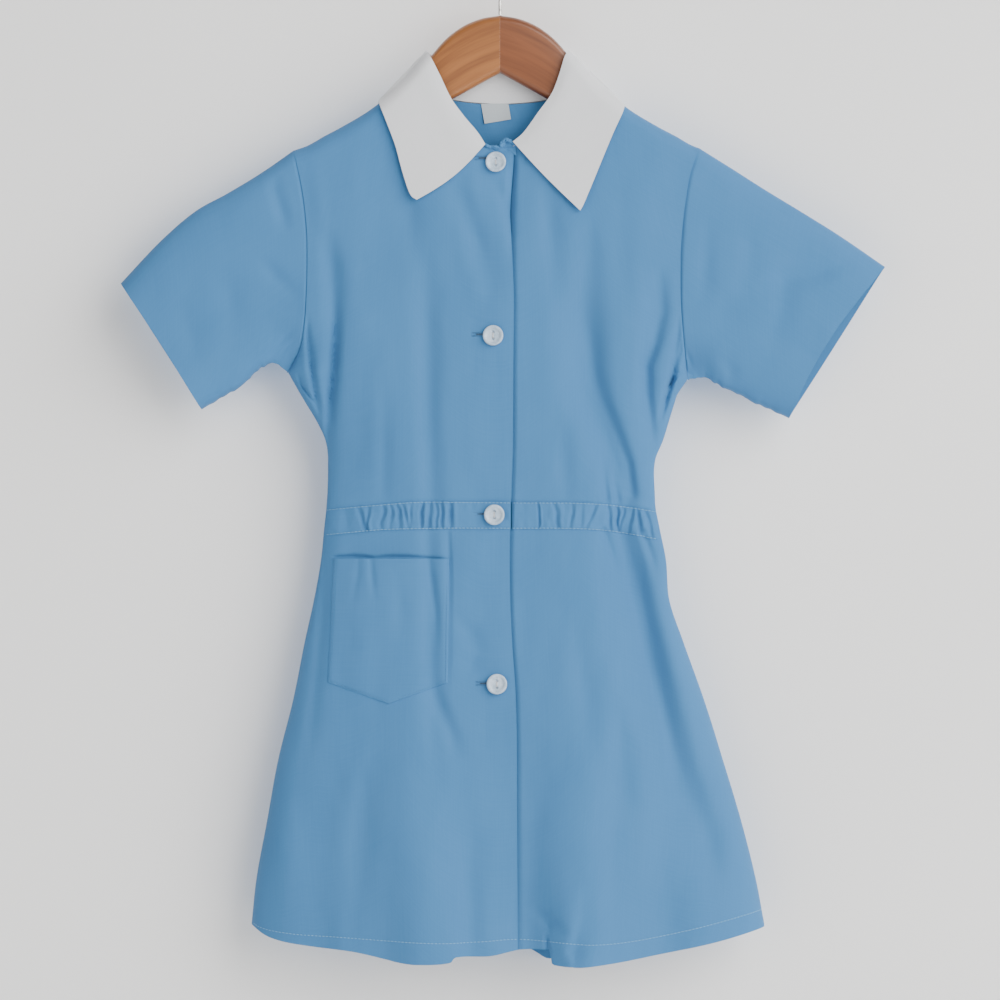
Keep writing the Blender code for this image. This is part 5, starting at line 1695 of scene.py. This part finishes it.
@dataclass
class NeckEdge:
    """Blue neck edge, which rolls over in wrinkles between the collar's ends."""

    dress: Dress
    finishes: Finishes
    across: tuple[float, ...] = (-13.9, -10.2, -5.8, -1.5, 1.1, 2.6, 4.7, 7.7, 10.4, 12.4)
    down: tuple[float, ...] = (163.1, 164.9, 166.4, 166.8, 165.3, 162.3, 161.0, 162.3, 164.3, 165.6)
    radius: float = 1.6
    tail: float = 6.5
    columns: int = 120
    wrinkle: SoftNoise = SoftNoise((1.3, 1.0), 0.55, 61)

    def build(self) -> None:
        """Roll with a radius that changes along it, and a tail that hangs down inside the front."""
        key = np.stack([self.across, self.down], axis=-1)
        walked = lengths(key[None], 1)[0]
        steps = np.linspace(0, walked[-1], self.columns)
        x = Curve(tuple(walked), self.across).at(steps)
        drop = Curve(tuple(walked), self.down).at(steps)
        run = unit(np.stack([np.gradient(x), np.gradient(drop)], axis=-1))
        angle = np.radians(np.linspace(-40, 215, 22))[:, None]
        ends = np.sin(math.pi * np.linspace(0.03, 0.97, self.columns)) ** 0.3
        radius = self.radius * ends * (1 + self.wrinkle.at(steps[None, :], np.degrees(angle) / 60))
        up = np.cos(angle) * radius
        centre = self.dress.surface(x, drop, Face.FRONT)[..., 1] - 0.2
        points = np.stack([x + run[:, 1] * up, centre - np.sin(angle) * radius,
                           -(drop - run[:, 0] * up)], axis=-1)
        fall = np.linspace(0, 1, 9)[1:, None, None] * np.array([0, 0.4, -self.tail])
        points = np.concatenate([points, points[-1:] + fall])
        Cloth("neck_edge_roll", points, AHEAD, 0.35).make(
            self.finishes.blue, "blue_cotton", [], ["front_right_panel", "collar_cloth"], "folded")


@dataclass
class Label:
    """Blank woven label, sewn in at the back of the neck."""

    dress: Dress
    finishes: Finishes
    corners: tuple[tuple[float, float], ...] = (
        (-13.9, 133.4), (6.2, 133.4), (8, 144.9), (-11.3, 148.1))
    thick: float = 0.35

    def build(self) -> None:
        """Straight sheet between its four corners, just inside the back, a little curled."""
        down, across = np.meshgrid(np.linspace(0, 1, 16), np.linspace(0, 1, 24), indexing="ij")
        x, drop = ((first * (1 - across) + second * across) * (1 - down)
                   + (fourth * (1 - across) + third * across) * down
                   for first, second, third, fourth in zip(*self.corners))
        wall = self.dress.surface(x, drop, Face.BACK)
        inside = WALL + 0.3 + 0.5 * down * (0.4 + (2 * across - 1) ** 2)
        points = wall + AHEAD * (inside[..., None] + self.thick)
        Cloth("label_tape", points, AHEAD, self.thick).make(
            self.finishes.tape, "woven_label", ["label"], ["back_panel"])


@dataclass
class Buttons:
    """Four turned buttons with a raised rim and two holes, their thread and buttonholes."""

    dress: Dress
    finishes: Finishes
    places: tuple[tuple[float, float], ...] = (
        (-3.1, 177.2), (-5.1, 303.7), (-4.2, 434), (-2.3, 557))
    on_casing: int = 2
    slit_above: tuple[float, ...] = (3.0, 0.8, 0.5, 0.6)
    radius: float = 7.5
    hole: float = 1.1
    hole_depth: float = 1.3
    apart: float = 2.4
    rim: tuple[tuple[float, float], ...] = (
        (1.0, 1.0), (0.985, 0.5), (0.93, 0.1), (0.85, 0.0), (0.02, 0.0))
    profile: Curve = Curve(
        (0, 2.6, 4.6, 5.6, 6.4, 7.0, 7.35, 7.5), (1.5, 1.5, 1.75, 2.4, 2.62, 2.5, 2.1, 1.5))

    def seat(self, number: int) -> tuple[Array, Array]:
        """Point behind a button's middle and the direction that it faces.

        Args:
            number: which button, from the top.

        Returns:
            The point and the unit normal; the button lies clear of the cloth all round.
        """
        x, drop = self.places[number]
        reach = self.radius
        form = self.dress.form
        folds = self.dress.front_folds
        rise = (form.depth(x, drop + reach, Face.FRONT, folds)
                - form.depth(x, drop - reach, Face.FRONT, folds))
        tilt = math.atan2(float(rise), 2 * reach)
        turn = np.linspace(0, 2 * math.pi, 24, endpoint=False)
        ring_drop = drop + reach * np.sin(turn)
        depth = form.depth(x + reach * np.cos(turn), ring_drop, Face.FRONT, folds)
        lift = 1.3 if number == self.on_casing else 0.0
        out = float(np.max(depth - (ring_drop - drop) * math.tan(tilt))) + 0.5 + lift
        return np.array([x, -out, -drop]), np.array([0, -math.cos(tilt), math.sin(tilt)])

    def build(self) -> None:
        """Every button, with its thread and its buttonhole."""
        bars = []
        holes = []
        for number in range(len(self.places)):
            bars += self.button(number)
            holes += self.buttonhole(number)
        sew("button_thread", bars, self.finishes.button_thread, "white_button")
        sew("buttonhole_stitches", holes, self.finishes.thread_and_edge_shade, "blue_cotton")

    def button(self, number: int) -> list[ThreadRun]:
        """One button: its profile turned about the middle, with two pits for the holes.

        Args:
            number: which button.

        Returns:
            The thread that goes through the holes.
        """
        centre, facing = self.seat(number)
        up = unit(UP - facing * facing[2])
        side = np.cross(up, facing)
        radius = np.concatenate([np.linspace(0.02, 4.2, 26), np.linspace(4.4, 7.5, 22)])[:, None]
        turn = np.linspace(0, 2 * math.pi, 72, endpoint=False)[None, :]
        across = radius * np.cos(turn)
        height = radius * np.sin(turn)
        face = self.profile.at(radius) + 0 * turn
        for sign in (-1, 1):
            away = np.hypot(across, height - sign * self.apart)
            face = face - self.hole_depth * smooth((self.hole - away) / 0.25)
        rows = [np.stack([across, height, face], axis=-1)]
        for share, depth in self.rim:
            edge = self.radius * share
            ring = (edge * np.cos(turn), edge * np.sin(turn), depth + 0 * turn)
            rows.append(np.stack(ring, axis=-1))
        local = np.concatenate(rows)
        points = (centre + local[..., :1] * side + local[..., 1:2] * up + local[..., 2:] * facing)
        quads = tube_quads(*points.shape[:2])
        node = f"button_{number + 1}"
        mesh = Mesh(f"{node}_turned", points.reshape(-1, 3), quads)
        mesh.dress(self.finishes.button, "white_button", [node], 70)
        steps = np.linspace(-1, 1, 9)[:, None]
        runs = []
        for aside in (-0.28, 0.28):
            line = (centre + facing * (1.5 - 0.4 * steps ** 8) + up * steps * self.apart
                    + side * aside)
            runs.append(ThreadRun(line, np.repeat(facing[None], 9, axis=0),
                                  pitch=2 * self.apart, gap=0.0, thick=0.4, width=0.4))
        return runs

    def buttonhole(self, number: int) -> list[ThreadRun]:
        """One buttonhole: close stitches each side, and a dark sheet as painted shade in its cut.

        Args:
            number: which button.

        Returns:
            The stitches.
        """
        x, drop = self.places[number]
        drop = drop - self.slit_above[number]
        lift = 0.5 if number == self.on_casing else 0.0
        span = np.linspace(x - 12.4, x + 1.0, 40)
        taper = np.sin(math.pi * np.linspace(0.02, 0.98, 40)) ** 0.3
        runs = []
        for sign in (-1, 1):
            for place in np.arange(x - 15.0, x + 1.0, 0.6):
                ends = drop + sign * np.array([0.45, 1.7])
                spots = np.full(2, place)
                points = self.dress.surface(spots, ends, Face.FRONT) + AHEAD * (0.1 + lift)
                normals = self.dress.normals(spots, ends, Face.FRONT)
                runs.append(ThreadRun(points, normals, pitch=1.25, gap=0.0, thick=0.26, width=0.5))
        # dark sheet along the cut, just above the cloth: painted shade of the buttonhole's inside
        rows = []
        for offset, raised in ((-0.85, 0.0), (-0.6, 0.3), (0.6, 0.3), (0.85, 0.0)):
            line = self.dress.surface(span, drop + offset * taper, Face.FRONT)
            rows.append(line + AHEAD * (lift + 0.05 + raised))
        cloth = Cloth(f"buttonhole_{number + 1}_slit", np.array(rows), AHEAD, 0.1)
        cloth.build().dress(self.finishes.slit_shade, "blue_cotton")
        return runs


@dataclass
class Hanger:
    """Wooden hanger in two arms, with its wire hook."""

    finishes: Finishes
    thick: float = 12.0
    corner: float = 5.6
    corner_share: float = 0.42
    wire: float = 2.6
    hook_radius: float = 19.0
    shank_bend: float = 46.0
    top: Curve = Curve(
        (0, 14.6, 29.2, 40.2, 50.4, 62, 75, 93.4, 117, 134, 143, 146),
        (69.6, 72.2, 78.8, 87.5, 99.2, 113.6, 125.8, 140.4, 156.2, 166.4, 171.2, 174))
    foot: Curve = Curve(
        (0, 14.6, 29.2, 40.2, 50.4, 62, 75, 93.4, 117, 134, 143, 146),
        (111.6, 119.7, 127.8, 133.8, 139.4, 145.6, 152, 161, 172.5, 180.3, 182, 180))

    def arm(self, hand: Hand, material: bpy.types.Material) -> None:
        """One arm: rounded sections carried from the middle joint to the tip.

        Args:
            hand: side of the wearer.
            material: finish of the wood.
        """
        near = np.array([0.01, 0.15, 0.35, 0.8])
        tip = 146 - np.array([2.4, 1.6, 0.9, 0.4, 0.1, 0.0])
        across = np.concatenate([near, np.linspace(2.0, 142.5, 90), tip])[:, None]
        shrink = np.sqrt(np.clip(1 - (np.clip(across - 142.0, 0, 4) / 4.05) ** 2, 0.05, 1))
        shrink = shrink * (1 - 0.004 * np.exp(-across / 0.2))
        angle = np.linspace(0, math.pi, 15)[None, :]
        top = self.top.at(across)
        foot = self.foot.at(across)
        bend = np.minimum(self.corner, (foot - top) * self.corner_share) * (1 - np.sin(angle))
        half = self.thick / 2
        y = np.cos(angle) * half + 0 * top
        y = np.concatenate([y, -y], axis=1)
        drop = np.concatenate([top + bend, foot - bend], axis=1)
        middle = (top + foot) / 2
        y = y * shrink
        drop = middle + (drop - middle) * shrink
        x = hand.value * across + 0 * y
        points = np.stack([x, y, -drop], axis=-1)
        run = lengths(np.stack([across, middle], axis=-1), 0) * MM
        grain = np.stack([run + 0 * x, (drop - middle) * MM, y * MM], axis=-1)
        grain = grain + np.array([0.37 * (1 + hand.value), 0.0, 0.0])
        side = "right" if hand is Hand.RIGHT else "left"
        mesh = Mesh(f"hanger_arm_{side}_wood", points.reshape(-1, 3), tube_quads(*x.shape))
        mesh.vector("grain", grain.reshape(-1, 3))
        mesh.dress(material, "varnished_wood", [f"hanger_arm_{side}"])

    def hook(self) -> None:
        """Hook: a round wire along a straight shank, a bend and an open loop."""
        middle = self.hook_radius + self.wire / 2
        turn = np.radians(np.linspace(-62, 196, 60))
        arc = np.stack([middle * np.cos(turn), self.hook_radius - middle * np.sin(turn)], axis=-1)
        low = float(self.top.values[0]) - 0.3
        bend = self.shank_bend
        key = np.array([[0, low], [0, (low + bend) / 2], [0, bend + 3],
                        [arc[0, 0] * 0.22, bend - 1.5],
                        [arc[0, 0] * 0.6, (bend + arc[0, 1]) / 2 - 1.0], arc[0]])
        walked = lengths(key[None], 1)[0]
        steps = np.linspace(0, walked[-1], 40)
        lead = [Curve(tuple(walked), tuple(column)).at(steps) for column in key.T]
        lead = np.stack(lead, axis=-1)
        route = np.concatenate([lead[:-1], arc])
        forward = unit(np.gradient(route, axis=0))
        side = np.stack([-forward[:, 1], forward[:, 0]], axis=-1)
        ends = np.concatenate([np.ones(len(route) - 3), [0.94, 0.75, 0.4]])[:, None]
        angle = np.linspace(0, 2 * math.pi, 20, endpoint=False)[None, :]
        radius = self.wire / 2 * ends
        x = route[:, :1] + side[:, :1] * np.cos(angle) * radius
        drop = route[:, 1:] + side[:, 1:] * np.cos(angle) * radius
        y = np.sin(angle) * radius
        points = np.stack([x, y, -drop], axis=-1)
        mesh = Mesh("hanger_hook_wire", points.reshape(-1, 3), tube_quads(*x.shape))
        mesh.dress(self.finishes.wire, "bright_wire", ["hanger_hook"])

    def build(self) -> None:
        """Both arms and the hook."""
        self.arm(Hand.RIGHT, self.finishes.wood_right)
        self.arm(Hand.LEFT, self.finishes.wood_left)
        self.hook()


@dataclass
class Studio:
    """Wall, floor, lights and camera."""

    wall_y: float = 0.037
    floor_z: float = -1.5
    camera_away: float = 4.0
    view_width: float = 0.73
    view_z: float = -0.4233

    def plane(self, name: str, corners: Sequence[tuple[float, float, float]],
              material: bpy.types.Material) -> bpy.types.Object:
        """Flat stage piece between four corners."""
        mesh = bpy.data.meshes.new(name)
        mesh.from_pydata([tuple(corner) for corner in corners], [], [(0, 1, 2, 3)])
        mesh.materials.append(material)
        piece = bpy.data.objects.new(name, mesh)
        bpy.context.scene.collection.objects.link(piece)
        piece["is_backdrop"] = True
        return piece

    def light(self, name: str, place: tuple[float, float, float], size: float, power: float,
              color: tuple[float, float, float]) -> None:
        """Square soft light that faces the dress."""
        data = bpy.data.lights.new(name, "AREA")
        data.size = size
        data.energy = power
        data.color = color
        lamp = bpy.data.objects.new(name, data)
        bpy.context.scene.collection.objects.link(lamp)
        lamp.location = place
        away = np.array([0.0, 0.0, -0.42]) - np.array(place)
        yaw = math.atan2(-away[0], away[1])
        pitch = math.atan2(math.hypot(away[0], away[1]), -away[2])
        lamp.rotation_euler = (pitch, 0, yaw)

    def build(self) -> None:
        """Make the stage, the lights and the camera."""
        wall = WallFinish("pale_wall", (0.87, 0.875, 0.88, 1), (0.83, 0.835, 0.84, 1), True).make()
        floor = WallFinish("pale_floor", (0.80, 0.80, 0.79, 1), (0.74, 0.74, 0.74, 1)).make()
        y = self.wall_y
        self.plane("studio_wall", ((-2.2, y, self.floor_z), (2.2, y, self.floor_z), (2.2, y, 1.2),
                                   (-2.2, y, 1.2)), wall)
        z = self.floor_z
        self.plane("studio_floor", ((-2.2, -3, z), (2.2, -3, z), (2.2, 3, z), (-2.2, 3, z)), floor)
        self.light("key", (1.9, -1.9, 0.5), 3.2, 166, (1.0, 0.99, 0.97))
        self.light("fill", (-1.7, -2.3, -0.9), 2.4, 34, (1.0, 0.99, 0.97))
        self.light("back_fill", (0.6, 2.4, 0.5), 1.8, 90, (1.0, 1.0, 1.0))
        world = bpy.data.worlds.new("studio")
        world.use_nodes = True
        world.node_tree.nodes["Background"].inputs[0].default_value = (0.9, 0.875, 0.85, 1)
        world.node_tree.nodes["Background"].inputs[1].default_value = 0.43
        bpy.context.scene.world = world
        data = bpy.data.cameras.new("camera")
        data.lens = data.sensor_width * self.camera_away / self.view_width
        camera = bpy.data.objects.new("camera", data)
        bpy.context.scene.collection.objects.link(camera)
        camera.location = (0, -self.camera_away, self.view_z)
        camera.rotation_euler = (math.pi / 2, 0, 0)
        bpy.context.scene.camera = camera


def corners() -> list[list[float]]:
    """Lowest and highest corner of what shows, as plain numbers."""
    return [[float(value) for value in corner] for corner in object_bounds()]


def main() -> None:
    """Build every piece of the dress in order."""
    logging.basicConfig(level=logging.INFO, format="%(name)s %(message)s")
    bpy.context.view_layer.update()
    finishes = Finishes()
    dress = Dress()
    Studio().build()
    for maker in (Tailor, Collar, NeckEdge, Label, Buttons):
        maker(dress, finishes).build()
    Hanger(finishes).build()


if __name__ == "__main__":
    main()
